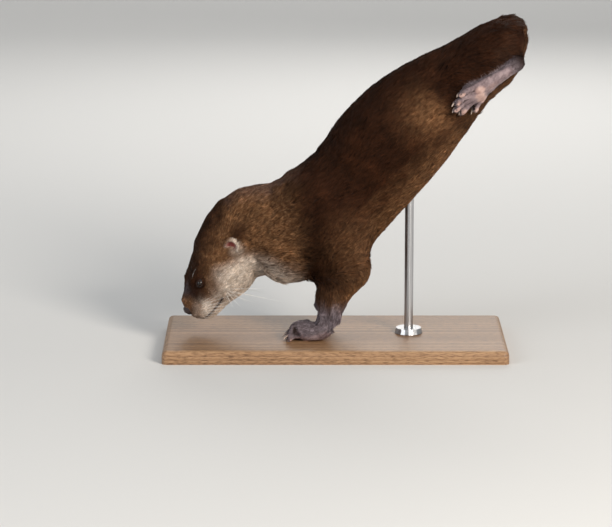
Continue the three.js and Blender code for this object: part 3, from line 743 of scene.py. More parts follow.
def pads_of(paw, flat, away, along):
    """1 on a sole's pads: the ends of the toes, four on the palm, and the heel."""
    hind = is_hind(paw)
    tips = np.array([tip for _, tip in toes_of(paw)])
    palm = tips[2][0] - (38.0 if hind else 25.0)
    shift = tips[[0, 4], 1].mean() * hind
    size = 8.5 if hind else 6.5
    pads = fade(1.0, 5.2, np.hypot(away, np.clip(0.9 - along, 0, 1) * 22))
    for across in (-0.7, -0.25, 0.2, 0.65):
        pad = (palm - 9 * across * across, shift + 17 * across)
        reach = np.hypot((flat[:, 0] - pad[0]) / 1.25, flat[:, 1] - pad[1])
        pads = np.maximum(pads, fade(0.2 * size, size, reach))
    heel = np.hypot((flat[:, 0] - palm + 20) / 1.8, flat[:, 1])
    return np.maximum(pads, (0.35 if hind else 0.9) * fade(2.0, 8.0, heel))


TOE_JOINTS = (0.58, 0.78)  # how far along a toe its joints are
WEB_DEPTH, PAD_HEIGHT, WRINKLE_DEPTH = 2.6, 1.7, 0.35


def shape_paw(surface, paw):
    """Parts the toes with sunken webs, and raises pads, knuckles and the soles' wrinkles."""
    sole, local, _ = sole_side(surface, paw)
    flat = local[:, :2]
    away, along, between = toe_reach(paw, flat)
    free = smoothstep(0.22, 0.5, along)
    split = fade(0.6, 3.2, between) * free * (away < 9)
    offset = -WEB_DEPTH * np.maximum(split, smoothstep(3.2, 5.2, away) * free)
    offset += fade(0.5, 3.6, away) * free
    for joint in TOE_JOINTS:
        fold = bell(along, joint, 0.03) * fade(3, 5, away)
        offset += np.where(sole > 0.5, -0.7, 0.4) * fold
    pads = pads_of(paw, flat, away, along)
    wrinkles = waves(surface.points, 0.0055, 41) + 0.6 * waves(surface.points, 0.0026, 42)
    offset += (PAD_HEIGHT * pads + WRINKLE_DEPTH * wrinkles) * sole
    mine = surface.share((paw,), 2)
    # painted shade: darker where the skin sinks, between the toes and in the soles' wrinkles
    crease = smoothstep(0.4, 2.2, -offset) + 0.4 * smoothstep(0.1, 0.9, -wrinkles) * (1 - pads)
    surface.crease = np.maximum(surface.crease, np.clip(crease, 0, 1) * mine)
    # off the pads, the soles get a painted sheen of wet skin
    surface.pad = np.minimum(surface.pad, 1 - mine * (0.85 - 0.8 * smoothstep(0.0, 0.9, pads)))
    surface.move(surface.normals() * (offset * mine * MM)[:, None])


def shape_paws(surface):
    """Slims the hind feet and shapes every paw, and keeps where its painted crease shade and its
    pads lie.
    """
    surface.crease = np.zeros(len(surface.points))
    surface.pad = np.ones(len(surface.points))
    for paw in PAWS:
        _, local, axes = sole_side(surface, paw)
        slim = slimmer(paw, local[:, :2]) - local[:, :2]
        surface.move(slim @ axes[:2] * surface.share((paw,), 10)[:, None] * MM)
        shape_paw(surface, paw)


# ---- the coat's fields ----------------------------------------------------------------------
FACE_DEPTH = 0.75  # of the skin under the short hair at the front of the face


def coat_depth(surface):
    """How deep the skin lies under the tips of the coat, in millimetres."""
    h = in_head(surface.points)
    face = surface.share(("head", "ear", "neck"), 8) * smoothstep(-50, 30, h[:, 0])
    depth = surface.of_kind("depth", 30)
    return depth * (1 - face) + FACE_DEPTH * face


def eye_reach(h, side):
    """How far points lie from the middle of an eye's opening, where its edge is at 1."""
    middle, axes = eye_frame(side)
    local = (h - middle) @ axes.T
    reach = almond(local[:, 0], local[:, 1])
    return np.where((local[:, 2] > 0) & (norms(local) < 20), reach, 9.0)


def nose_reach(h):
    """The same for the border of the nose pad."""
    return norms((h - in_head(centre("nose"))) / (6.4, 10.8, 7.4))


def ear_inside(surface, low, high):
    """1 in the middle of the ears' hollows, which fades out between two shares of the way to
    their rims."""
    h = in_head(surface.points)
    n = surface.normals() @ HEAD_AXES.T
    inside = np.zeros(len(h))
    for side in SIDES:
        _, _, out, r = in_ear(h, side)
        hollow_side = smoothstep(-0.2, 0.4, n @ ear_frame(side)[1][2]) * (np.abs(out) < 8)
        inside = np.maximum(inside, fade(low, high, r) * hollow_side)
    return inside * surface.share(("ear",), 3)


def before_corner(along):
    """1 along the mouth line, 0 at its corner."""
    return fade(0.85, 1.0, along)


def bare_share(surface):
    """1 on bare skin: the soles, the nose's border, the eyes' rims, the lips' edges and the
    insides of the ears."""
    h = in_head(surface.points)
    away, along = from_mouth(surface)
    bare = [fade(1.0, 1.15, nose_reach(h)), ear_inside(surface, 0.4, 0.75),
            fade(1.1, 2.1, away) * before_corner(along)]
    bare += [fade(1.08, 1.24, eye_reach(h, side)) for side in SIDES]
    for paw in PAWS:
        sole, local, _ = sole_side(surface, paw)
        heel = -44 if is_hind(paw) else -60
        mine = smoothstep(0.35, 0.8, surface.share((paw,), 2))
        bare.append(sole * mine * smoothstep(heel, heel + 14, local[:, 0]))
    return np.maximum.reduce(bare)


def wet_sheen_share(surface):
    """1 where the painted sheen of wet hair goes: on the feet and the wrists."""
    p, n = surface.points, surface.normals()
    foreleg = surface.share(("foreleg",), 14)
    wet = []
    for paw in PAWS:
        middle, axes = paw_axes(paw)
        if is_hind(paw):
            own = smoothstep(-58, -36, (p - middle) @ axes[0] / MM)
            own *= smoothstep(0.35, 0.85, surface.share((paw,), 6))
        else:
            away = norms(p - middle) / MM - 14 * n[:, 0]
            own = fade(42, 68, away) * (foreleg + surface.share((paw,), 14))
        wet.append(own)
    return np.clip(np.maximum.reduce(wet), 0, 1)


def undarkened(surface, sided):
    """1 where pale and warm hair shows in full, and less round the eyes, on the smudges in front of
    them and in the painted shadow behind the ears. The second argument has both sides of the head
    on its left."""
    h = in_head(surface.points)
    eyes = np.minimum(*(eye_reach(h, side) for side in SIDES))
    around_eye = fade(1.5, 2.9, eyes)
    smudge = np.maximum(bump_at(sided, (15, 20, -3), 11), 0.8 * bump_at(sided, (14, 27, -11), 11))
    # painted shadow of the ear on the fur behind it
    ear_shadow = bump_at(sided, (-79, 51, -8), 20) * (1 - surface.share(("ear",), 2))
    return (1 - 0.85 * around_eye) * (1 - 0.8 * smudge) * (1 - 0.9 * ear_shadow)


def coat_markings(surface):
    """The coat's colour fields at each vertex, which the skin and every lock of hair share:
    pale cream, warm golden brown, a painted lilac sheen of wet hair, and bare skin, over the dark
    brown of the back."""
    p, n, h = surface.points, surface.normals(), in_head(surface.points)
    head = surface.share(("head", "ear"), 12)
    neck, trunk = surface.share(("neck",), 30), surface.share(("trunk",), 30)
    foreleg, hindleg = surface.share(("foreleg",), 14), surface.share(("hindleg",), 14)
    tail = surface.share(("tail",), 25)
    wobble = 0.12 * waves(p, 0.05, 3) + 0.08 * waves(p, 0.018, 4)
    under = n @ BODY_UNDER + wobble

    top = np.interp(h[:, 0], (-100, -60, -30, 0, 20, 40), (36, 33, 29, 12, 6, -3))
    drop = top - h[:, 2] + 26 * wobble  # how far down the side of the head
    across = np.abs(h[:, 1])
    sided = np.column_stack([h[:, 0], across, h[:, 2]])
    shaded = undarkened(surface, sided)
    back = np.clip(-h[:, 0] - 20, 0, None)
    cheek = (head + neck) * smoothstep(20, 48, drop - 0.8 * back) * fade(28, 58, back)
    muzzle = head * smoothstep(19, 31, h[:, 0])
    lip = head * smoothstep(8, 24, h[:, 0]) * smoothstep(9, 22, drop)
    # the ears' pale rims, kept only on their lower parts: painted light where the light falls on
    # them
    lit_ear_rim = surface.share(("ear",), 4) * fade(-7, 3, h[:, 2])
    below_ear = 0.7 * bump_at(sided, (-60, 48, -18), 15)
    jaw = head * np.clip(1.6 * bump_at(sided, (-14, 38, -38), 32), 0, 1)
    throat = neck * smoothstep(0.35, 1.0, -n[:, 2] + 0.35 * n[:, 0] + wobble)
    throat *= 1 - 0.7 * smoothstep(95, 130, -h[:, 0])
    pale = np.maximum.reduce([0.95 * cheek, jaw, 0.9 * lip * shaded, lit_ear_rim, below_ear,
                              0.45 * throat, 0.4 * muzzle * smoothstep(2, 12, drop)]) * shaded

    # the crown's darker fur, with painted shade along the top of the head
    crown = fade(8, 30, drop) * fade(95, 140, -h[:, 0])
    nape_end = smoothstep(122, 168, -h[:, 0]) * smoothstep(-0.4, 0.5, n[:, 2])
    # a painted pool of light on the flank's sides
    painted_flank_light = bell(p[:, 0], 0.122, 0.034) * bell(p[:, 2], 0.322, 0.03)
    warm = np.maximum.reduce([
        0.62 * trunk * smoothstep(0.1, 0.9, under),
        0.8 * painted_flank_light * trunk * smoothstep(0.3, 0.8, np.abs(n[:, 1])),
        (neck * (0.76 + 0.5 * wobble) * (1 - 0.55 * nape_end) + 0.85 * head) * (1 - 0.95 * crown),
        muzzle,
        # painted light: warmer on the forelegs' faces that turn towards the tail
        foreleg * (0.16 + 0.5 * smoothstep(-0.2, 0.8, n[:, 0])),
        0.38 * bump_at(p * (1, 0.4, 1) / MM, (22, -27, 140), 75) * (trunk + foreleg),
        0.3 * hindleg * smoothstep(0.2, 0.9, under),
        0.3 * tail * smoothstep(0.2, 0.9, -n[:, 2]),
    ]) * shaded

    # painted sheen: lilac on the snout's bridge, on the neck's upward faces, and on the wet feet
    # and wrists
    bridge = bell(h[:, 0], 19, 10) * bell(across, 0, 12)
    painted_sheen = np.maximum.reduce([0.6 * head * bridge * fade(6, 16, drop),
                              wet_sheen_share(surface), 0.18 * neck * smoothstep(0.5, 0.95, n[:, 2])])
    away, along = from_mouth(surface)
    lips = 0.8 * fade(1.6, 3.2, away) * before_corner(along)
    fields = dict(pale=pale, warm=warm, painted_sheen=painted_sheen, bare=bare_share(surface),
                  # the paws' painted crease shade, with a darker edge along the mouth line
                  crease=np.maximum(surface.crease, lips))
    return {key: np.clip(values, 0, 1) for key, values in fields.items()}


def hair_lie(surface):
    """Which way the hair lies at each vertex, along the skin."""
    n = surface.normals()
    lies = unit([lie_of(name) for name in FLESH])
    lie = unit(spread(lies[surface.node], surface.ends, 90))
    from_nose = unit(surface.points - from_head((44, 0, -6)))
    face = surface.share(("head",), 10)[:, None]
    lie = lie * (1 - face) + from_nose * face
    lie += 0.16 * unit(np.cross(n, lie)) * waves(surface.points, 0.06, 7)[:, None]
    return unit(lie - n * (lie * n).sum(1, keepdims=True))


# ---- the coat -------------------------------------------------------------------------------
COAT_PIECES = {"head": ("head", "ear"), "neck": ("neck",), "trunk": ("trunk",),
               "hindlegs": ("hindleg", "hindfoot"), "forelegs": ("foreleg", "forepaw"),
               "tail": ("tail",)}
PIECE_TRIANGLES = 190000  # about the most in one piece
BEND = 0.55  # how far up a blade its bend is
CORNERS = np.array([0, 0, BEND, BEND, 1.0])  # how far up a blade each of its corners is
LOCK_FOOT = 0.62  # the radius over which a lock's blades stand, as a share of the spacing
ROOT_DEPTH = 0.35 * MM  # how far under the skin a blade starts
UV_PATCH = 0.003  # the width of a lock's patch in the picture that colours are baked to


def scatter_roots(points, faces, density, source):
    """Places spread evenly over the faces, with so many to each square metre."""
    a, b, c = (points[faces[:, k]] for k in range(3))
    area = norms(np.cross(b - a, c - a)) / 2
    wanted = np.cumsum(area * density[faces].mean(1))
    count = int(wanted[-1])
    marks = (np.arange(count) + source.random(count)) * wanted[-1] / count
    chosen = np.minimum(np.searchsorted(wanted, marks), len(faces) - 1)
    s, t = np.sqrt(source.random(count)), source.random(count)
    weights = np.stack([1 - s, s * (1 - t), s * t], 1)
    return chosen, weights


def at_roots(values, faces, chosen, weights):
    """Vertex values at the places that scatter_roots gives."""
    return np.einsum("rc,rc...->r...", weights, values[faces[chosen]])


def blade_corners(roots, lock, source):
    """Five corners for each blade: a strip that leaves the skin, bends over, and ends near the
    tip of its lock."""
    total = len(lock)
    n, lie, depth = roots["normal"][lock], roots["lie"][lock], roots["depth"][lock]
    place = roots["place"][lock]
    side = np.cross(n, lie)
    length = roots["length"][lock] * source.uniform(0.72, 1.12, total)
    width = roots["width"][lock] * source.uniform(0.75, 1.2, total)
    turn, reach = source.uniform(0, 2 * math.pi, total), np.sqrt(source.random(total))
    spot = lie * np.cos(turn)[:, None] + side * np.sin(turn)[:, None]
    root = place + spot * (roots["spacing"][lock] * LOCK_FOOT * reach)[:, None]
    lock_tip = place + lie * length[:, None] + n * (depth * roots["lift"][lock])[:, None]
    gathered = source.uniform(0.2, 0.7, total)[:, None]
    own_lift = n * (depth * source.uniform(0.5, 1.05, total))[:, None]
    own_tip = root + lie * length[:, None] + own_lift
    tip = lock_tip * gathered + own_tip * (1 - gathered)
    tip += side * (length * source.normal(0, 0.07, total))[:, None]
    middle = root * 0.52 + tip * 0.48 + n * (depth * 0.28)[:, None]
    roll = source.normal(0, 0.5, total)[:, None]
    across = unit(side * np.cos(roll) + n * np.sin(roll)) * width[:, None] / 2
    root = root - n * ROOT_DEPTH
    return np.stack([root - across, root + across, middle - across * 0.8,
                     middle + across * 0.8, tip], 1)


def blade_patches(roots, lock, slot, blades):
    """Where the corners of each blade lie in the baked picture: in strips, side by side on the
    patch of their lock."""
    strip = UV_PATCH / np.maximum(blades[lock], 1)
    left = roots["uv"][lock, 0] - UV_PATCH / 2 + slot * strip
    right = left + strip * 0.9
    u = np.stack([left, right, left, right, left + strip * 0.45], 1)
    v = (roots["uv"][lock, 1] - UV_PATCH / 2)[:, None] + CORNERS * UV_PATCH
    return np.stack([u, v], 2).reshape(-1, 2)


def lock_mesh(name, roots, blades, source):
    """Thin pointed blades in locks, as one mesh."""
    lock = np.repeat(np.arange(len(blades)), blades)
    total = len(lock)
    slot = np.arange(total) - np.repeat(np.cumsum(blades) - blades, blades)
    vertices = blade_corners(roots, lock, source).reshape(-1, 3)
    first = np.arange(total)[:, None] * len(CORNERS)
    triangles = [first + corners for corners in ((0, 1, 3), (0, 3, 2), (2, 3, 4))]
    triangles = np.stack(triangles, 1).reshape(-1, 3)
    mesh = bpy.data.meshes.new(name)
    mesh.from_pydata(vertices, [], triangles)
    patches = blade_patches(roots, lock, slot, blades)
    mesh.uv_layers.new(name="OFBake").uv.foreach_set("vector", patches[triangles.ravel()].ravel())
    for key in ("pale", "warm", "painted_sheen", "crease"):
        store(mesh, key, np.repeat(roots[key][lock], len(CORNERS)))
    store(mesh, "along", np.tile(CORNERS, total))
    tint = roots["tint"][lock] + source.normal(0, 0.3, total)
    store(mesh, "tint", np.repeat(tint, len(CORNERS)))
    return mesh


def store(mesh, name, values):
    attribute = mesh.attributes.new(name, "FLOAT", "POINT")
    attribute.data.foreach_set("value", np.ascontiguousarray(values, np.float32))


def coat_inputs(surface, marks):
    """What each lock needs to know, at the skin's vertices."""
    p, h = surface.points, in_head(surface.points)
    face = surface.share(("head",), 8) * smoothstep(-50, 32, h[:, 0])
    near_eye = np.maximum(*(bump_at(h, eye_frame(side)[0], 15) for side in SIDES))
    away, _ = from_mouth(surface)
    rod = norms((p - centre("stand_rod"))[:, :2]) / MM
    scale = (1 - 0.60 * face) * (1 - 0.45 * near_eye) * (0.55 + 0.45 * smoothstep(2, 6, away))
    scale *= 0.4 + 0.6 * smoothstep(8, 20, rod)
    for side in SIDES:
        scale *= 1 - 0.55 * bump_at(h, ear_frame(side)[0] + (9, 0, 0), 17)
    thin = 1 - 0.3 * face
    return dict(
        marks, place=p, normal=surface.normals(), lie=hair_lie(surface),
        depth=coat_depth(surface) * MM,
        length=surface.of_kind("length", 12) * scale * MM,
        width=surface.of_kind("width", 12) * thin * MM,
        spacing=surface.of_kind("spacing", 6) * thin * MM,
        blades=surface.of_kind("blades", 6),
        tint=0.5 * waves(p, 0.012, 21) + 0.4 * waves(p, 0.03, 22),
    )


def make_locks(surface, marks, mesh, source):
    """The root of every lock with its own values, its number of blades, and its kind of part."""
    values = coat_inputs(surface, marks)
    faces = read(mesh, "polygons", "vertices", 3, np.int32)
    uv = read(mesh.uv_layers["OFBake"], "uv", "vector", 2).reshape(-1, 3, 2)
    density = fade(0.35, 0.7, values["bare"]) / values["spacing"] ** 2
    chosen, weights = scatter_roots(surface.points, faces, density, source)
    roots = {key: at_roots(v, faces, chosen, weights) for key, v in values.items()}
    roots["uv"] = np.einsum("rc,rcx->rx", weights, uv[chosen])
    for key in ("normal", "lie"):
        roots[key] = unit(roots[key])
    count = len(chosen)
    swing = source.normal(0, 0.16, count)[:, None]
    roots["lie"] = unit(roots["lie"] + np.cross(roots["normal"], roots["lie"]) * swing)
    roots["lift"] = source.uniform(0.65, 1.05, count)
    variety = 0.85 + 0.9 * roots["warm"] * (1 - roots["pale"])
    roots["tint"] = roots["tint"] + source.normal(0, 0.5, count) * variety
    blades = np.round(roots["blades"] + source.uniform(-0.5, 0.5, count))
    kinds = np.array([kind_of(n) for n in FLESH])[surface.node]
    return roots, np.maximum(blades, 1).astype(int), kinds[faces[chosen, 0]]


def make_coat(surface, marks, mesh, material):
    """The coat, in pieces of similar size from the nose to the tail's tip."""
    source = np.random.default_rng(5)
    roots, blades, kinds = make_locks(surface, marks, mesh, source)
    for label, own_kinds in COAT_PIECES.items():
        mine = np.nonzero(np.isin(kinds, own_kinds))[0]
        mine = mine[np.argsort(roots["place"][mine] @ BODY_LIE, kind="stable")]
        pieces = math.ceil(3 * blades[mine].sum() / PIECE_TRIANGLES)
        for index, some in enumerate(np.array_split(mine, pieces)):
            name = f"coat_{label}_{index + 1}"
            data = {key: v[some] for key, v in roots.items()}
            piece = new_object(name, lock_mesh(name, data, blades[some], source))
            finish_piece(piece, "coat", material)


# ---- materials ------------------------------------------------------------------------------
def coat_colour(look):
    """The coat's colour from its markings, for the skin and the hair alike."""
    blotch, fine = look.noise(26, 4), look.noise(190, 3)
    dark = look.shades(blotch, (0.017, 0.0050, 0.0020), (0.044, 0.0145, 0.0058))
    gold = look.shades(fine, (0.155, 0.068, 0.028), (0.32, 0.165, 0.078))
    cream = look.shades(fine, (0.60, 0.49, 0.39), (0.84, 0.75, 0.66))
    # lilac: a painted sheen of wet hair
    sheen_lilac = look.shades(fine, (0.115, 0.089, 0.10), (0.26, 0.22, 0.245))
    colour = look.mix(look.field("warm"), dark, gold)
    colour = look.mix(look.field("painted_sheen"), colour, sheen_lilac)
    colour = look.mix(look.field("pale"), colour, cream)
    # painted shade in the paws' creases, and the dark edge along the mouth line
    return look.mix(look.field("crease"), colour, (0.022, 0.013, 0.012))


def skin_material():
    look = Look("skin")
    # the coat's colours, darkened as painted shade under the hair
    coat = look.mix(1.0, coat_colour(look), (0.62, 0.58, 0.56), "MULTIPLY")
    patches = look.noise(95, 4)
    bare = look.shades(patches, (0.34, 0.20, 0.17), (0.56, 0.38, 0.33), 0.32, 0.62)
    red = look.shades(patches, (0.13, 0.018, 0.014), (0.30, 0.065, 0.05))
    # lilac: a painted sheen of wet skin on the soles between the pads
    sheen_lilac = look.shades(patches, (0.10, 0.073, 0.085), (0.25, 0.19, 0.205), 0.32, 0.62)
    soles = look.mix(look.field("pad"), sheen_lilac, bare)
    # painted shade in the creases of the soles
    creased = look.mix(look.field("crease"), soles, (0.045, 0.027, 0.03))
    colour = look.mix(look.field("bare"), coat, creased)
    colour = look.mix(look.field("ruddy"), colour, red)
    colour = look.mix(look.field("rim"), colour, (0.018, 0.011, 0.009))
    wet = look.shades(look.noise(70, 3), 0.34, 0.58)
    grain = look.math("ADD", look.math("MULTIPLY", look.pebbles(900, 0.25), 2.0),
                      look.noise(700, 3))
    return look.surface({
        "Base Color": colour, "Normal": look.bump(grain, 0.6, 0.0004),
        "Roughness": look.mix(look.field("bare"), (0.85, 0.85, 0.85), wet),
        "Specular IOR Level": 0.3,
    })


def coat_material():
    look = Look("coat")
    shade = look.ramp(look.field("along"), [(0.0, (0.50, 0.46, 0.44)), (0.6, (0.92, 0.90, 0.89)),
                                            (1.0, (1.0, 1.0, 1.0))])
    colour = look.mix(1.0, coat_colour(look), shade, "MULTIPLY")
    glow = look.math("POWER", 1.55, look.field("tint"))
    bright = look.add("CombineColor", {"Red": glow, "Green": glow, "Blue": glow})
    return look.surface({
        "Base Color": look.mix(1.0, colour, bright.outputs["Color"], "MULTIPLY"),
        "Roughness": look.scaled(look.noise(60, 3), 0.25, 0.42),
        "Specular IOR Level": 0.16, "Specular Tint": (1.0, 0.78, 0.60),
    })


def eye_material():
    """A black pupil in a dark iris with a black border, under a clear wet coat."""
    look = Look("eye")
    iris = look.ramp(look.field("radial"), [
        (0.0, (0.002, 0.002, 0.002)), (0.36, (0.003, 0.002, 0.002)), (0.42, (0.018, 0.008, 0.004)),
        (0.58, (0.026, 0.012, 0.006)), (0.68, (0.006, 0.003, 0.002)), (0.8, (0.02, 0.014, 0.012))])
    fibres = look.noise(1400, 3)
    streaks = look.shades(fibres, (0, 0, 0), (0.02, 0.01, 0.004), 0.3, 0.8)
    return look.surface({
        "Base Color": look.mix(0.35, iris, streaks, "ADD"), "Roughness": 0.12,
        "Specular IOR Level": 0.25, "Coat Weight": 1.0, "Coat IOR": 1.28,
        "Coat Roughness": 0.03, "Normal": look.bump(fibres, 0.05, 0.0001),
    })


def lid_material():
    """The moist dark edge of the eyelids."""
    look = Look("lids")
    fine = look.noise(900, 3)
    return look.surface({
        "Base Color": look.shades(fine, (0.006, 0.004, 0.004), (0.022, 0.013, 0.012)),
        "Roughness": look.scaled(fine, 0.3, 0.35), "Normal": look.bump(fine, 0.3, 0.0001),
    })


def nose_material():
    look = Look("nose")
    colour = look.shades(look.noise(220, 4), (0.02, 0.011, 0.010), (0.062, 0.036, 0.032))
    return look.surface({
        # painted shade inside the nostrils and slits
        "Base Color": look.mix(look.field("hollow"), colour, (0.003, 0.002, 0.002)),
        "Roughness": look.shades(look.noise(300, 2), 0.38, 0.6), "Specular IOR Level": 0.35,
        "Normal": look.bump(look.pebbles(1150, 0.3), 0.7, 0.0005),
    })


def horn_material(name, dark, light, scale, roughness):
    """Claws and whiskers: streaks along a piece, from its root's colour to its tip's."""
    look = Look(name)
    streak = look.math("MULTIPLY", look.math("SUBTRACT", look.noise(scale, 3), 0.5), 0.6)
    along = look.math("ADD", look.field("along"), streak, clamp=True)
    return look.surface({
        "Base Color": look.shades(along, dark, light, 0.1, 0.75),
        "Roughness": look.scaled(streak, 0.3, roughness),
        "Normal": look.bump(look.noise(scale * 2, 2), 0.15, 0.0002),
    })


def wood_material():
    """Long grain along the base: growth rings about an axis under it, sway and pores."""
    look = Look("stand_wood")
    grain = look.place((1.6, 16, 16))
    rings = look.add("TexWave", {
        "Scale": 70, "Distortion": 2.2, "Detail": 3, "Detail Scale": 0.6,
        "Vector": look.place((0.06, 1, 1), (0.0, 0.03, 0.14)),
    }, wave_type="RINGS", rings_direction="X", wave_profile="SAW")
    pores = look.noise(70, 3, grain)
    tone = look.math("ADD", look.math("MULTIPLY", rings.outputs["Fac"], 0.42),
                     look.math("MULTIPLY", look.noise(2.2, 3, grain), 0.65))
    colour = look.ramp(tone, [(0.2, (0.20, 0.105, 0.05)), (0.55, (0.34, 0.19, 0.095)),
                              (0.85, (0.46, 0.28, 0.15))])
    marks = look.shades(pores, (0.45, 0.4, 0.36), (1, 1, 1), 0.38, 0.52)
    return look.surface({
        "Base Color": look.mix(1.0, colour, marks, "MULTIPLY"),
        "Roughness": look.scaled(pores, 0.25, 0.3), "Normal": look.bump(pores, 0.25, 0.0003),
    })


def steel_material():
    """Steel that is brushed round the rod."""
    look = Look("stand_steel")
    brush = look.noise(1.0, 2, look.place((900, 900, 12)))
    return look.surface({
        "Base Color": look.shades(brush, (0.42, 0.42, 0.43), (0.62, 0.62, 0.63)),
        "Roughness": look.scaled(brush, 0.2, 0.22), "Metallic": 1.0,
        "Normal": look.bump(brush, 0.08, 0.0001),
    })


# ---- separate pieces ------------------------------------------------------------------------
def finish_piece(thing, slot, material, *replaced):
    finish_mesh(thing.data, material)
    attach(thing, "root")
    if replaced:
        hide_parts(*replaced)


def mesh_from(name, vertices, faces, **fields):
    mesh = bpy.data.meshes.new(name)
    mesh.from_pydata(np.asarray(vertices).tolist(), [], faces)
    for key, values in fields.items():
        store(mesh, key, values)
    return new_object(name, mesh)


def ball(subdivisions):
    """The vertices and faces of a ball of radius 1."""
    mesh = bmesh.new()
    bmesh.ops.create_icosphere(mesh, subdivisions=subdivisions, radius=1.0)
    vertices = np.array([v.co[:] for v in mesh.verts])
    mesh.verts.ensure_lookup_table()
    faces = [[v.index for v in f.verts] for f in mesh.faces]
    mesh.free()
    return vertices, faces


def tube(path, radii, sides):
    """A tube's vertices and faces round a path, closed to a point at both ends, and how far
    along the tube each vertex is."""
    runs = unit(np.gradient(path, axis=0))
    helper = np.array([0.3, 0.5, 0.8])
    if abs(runs[0] @ unit(helper)) > 0.9:
        helper = np.array([1.0, 0, 0])
    across = unit(np.cross(runs, helper))[:, None]
    other = np.cross(runs, across[:, 0])[:, None]
    turns = (np.arange(sides) * 2 * math.pi / sides)[:, None]
    rings = across * np.cos(turns) + other * np.sin(turns)
    rings = path[:, None] + radii[:, None, None] * rings
    vertices = np.concatenate([rings.reshape(-1, 3), path[:1], path[-1:]])
    start, end = len(path) * sides, len(path) * sides + 1
    faces = []
    for k in range(sides):
        j = (k + 1) % sides
        for low in range(0, start - sides, sides):
            faces.append((low + k, low + j, low + sides + j, low + sides + k))
        faces += [(start, j, k), (end, start - sides + k, start - sides + j)]
    along = np.concatenate([np.repeat(np.linspace(0, 1, len(path)), sides), [0, 1]])
    return vertices, faces, along


def join_tubes(name, tubes):
    """One object of many tubes, each given by its path, radii and sides."""
    vertices, faces, along = [], [], []
    for path, radii, sides in tubes:
        start = sum(map(len, vertices))
        own_vertices, own_faces, own_along = tube(path, radii, sides)
        vertices.append(own_vertices)
        faces += [tuple(start + v for v in face) for face in own_faces]
        along.append(own_along)
    return mesh_from(name, np.concatenate(vertices), faces, along=np.concatenate(along))


def make_eyeball(side, material):
    """An eyeball with a low cornea."""
    middle, axes = eye_frame(side)
    directions, faces = ball(5)
    angle = np.arccos(np.clip(directions[:, 2], -1, 1))
    radius = EYE_RADIUS - 0.1 + 0.45 * bell(angle, 0, 0.55)
    points = from_head(middle + directions * radius[:, None] @ axes)
    eye = mesh_from("eyeball_" + SIDES[side], points, faces, radial=angle / 1.1)
    finish_piece(eye, "eye", material, "eye_" + SIDES[side])


def make_lid_edge(side, material):
    """The moist edge of an eye's lids, as a thin ring on the eyeball."""
    middle, axes = eye_frame(side)
    turns = np.linspace(0, 2 * math.pi, 61)
    flat = np.stack([np.cos(turns), np.sin(turns)], 1)
    flat = flat * 1.03 / almond(flat[:, 0], flat[:, 1])[:, None]
    reach = norms(flat)
    bend = reach / EYE_RADIUS
    ring = np.column_stack([flat / reach[:, None] * np.sin(bend)[:, None], np.cos(bend)])
    path = from_head(middle + ring * (EYE_RADIUS + 0.35) @ axes)
    edge = join_tubes("lid_edge_" + SIDES[side], [(path, np.full(len(path), 0.3 * MM), 8)])
    finish_piece(edge, "bare_skin", material)


SQUARENESS = 2.5  # of the nose pad: 2 would be an egg, and more is closer to a box


def make_nose(material):
    """The bare pad, with its two nostrils, the slits at their sides and a middle groove."""
    points = in_head(read(nodes["nose"].data, "vertices", "co", 3))
    low, high = points.min(0), points.max(0)
    middle, half = (low + high) / 2, (high - low) / 2
    d, faces = ball(6)
    d = d / (np.abs(d) ** SQUARENESS).sum(1, keepdims=True) ** (1 / SQUARENESS)
    local = d * half
    y, z = local[:, 1], local[:, 2]
    front = smoothstep(-0.1, 0.5, d[:, 0])
    dent = 0.8 * bell(y, 0, 0.7) * front * fade(2, 6, z)
    hollow = np.zeros(len(d))
    for side in SIDES:
        out = y * side
        hole = np.hypot((out - 5.2) / 3.3, (z + 0.4 + 0.2 * (out - 5.2)) / 2.5)
        opening = fade(0.45, 1.05, hole) * front
        slit = bell(z + 0.4 * (out - 7), -1.6, 0.8)
        slit *= smoothstep(6, 7.5, out) * fade(11.4, 12.4, out)
        dent += 4.2 * opening + 1.6 * slit
        dent -= 0.8 * bell(hole, 1.35, 0.35) * front
        # painted shade inside the nostrils and slits
        hollow = np.maximum.reduce([hollow, opening, 0.9 * slit])
    local[:, 0] -= dent
    local[:, 2] -= 1.5 * smoothstep(0.2, 1.0, np.abs(y) / half[1]) * (z > 0)
    local += d * (0.12 * waves(local, 1.6, 9))[:, None]
    points = from_head(middle + local - (2.2, 0, 0.3))
    finish_piece(mesh_from("nose_pad", points, faces, hollow=hollow), "bare_skin", material,
                 "nose")


def claw_tube(paw, name):
    """A curved pointed claw along its solid, rooted in the toe's end."""
    middle, axes = paw_axes(paw)
    points = read(nodes[name].data, "vertices", "co", 3)
    local = points - points.mean(0)
    _, _, turns = np.linalg.svd(local, full_matrices=False)
    axis = turns[0] * np.sign(turns[0] @ axes[0])
    reach = local @ axis
    base, tip = reach.min() - 1.6 * MM, reach.max()
    tip -= (tip - base) * (0.3 if is_hind(paw) else 0.05)
    t = np.linspace(0, 1, 12)
    path = points.mean(0) + axis * (base + (tip - base) * t)[:, None]
    flat = (path - middle) @ axes.T / MM
    flat[:, :2] = slimmer(paw, flat[:, :2])
    flat[:, 2] += 0.9 * np.sin(t * math.pi) - 0.5 * t ** 2
    return middle + flat * MM @ axes, (1.55 * (1 - t ** 1.6) ** 0.8 + 0.12) * MM, 10


def make_claws(material):
    for paw in PAWS:
        claws = join_tubes(f"claws_{paw}", [claw_tube(paw, name) for name in claws_of(paw)])
        finish_piece(claws, "claw", material, *claws_of(paw))


CHEEK_WHISKERS = [  # each one's reach: towards the nose, out and up, in millimetres
    (-16, 12, -64), (-14, 14, -44), (-4, 12, -34), (4, 9, -28), (12, 8, -24), (16, 6, -18),
    (-22, 16, -38),
]


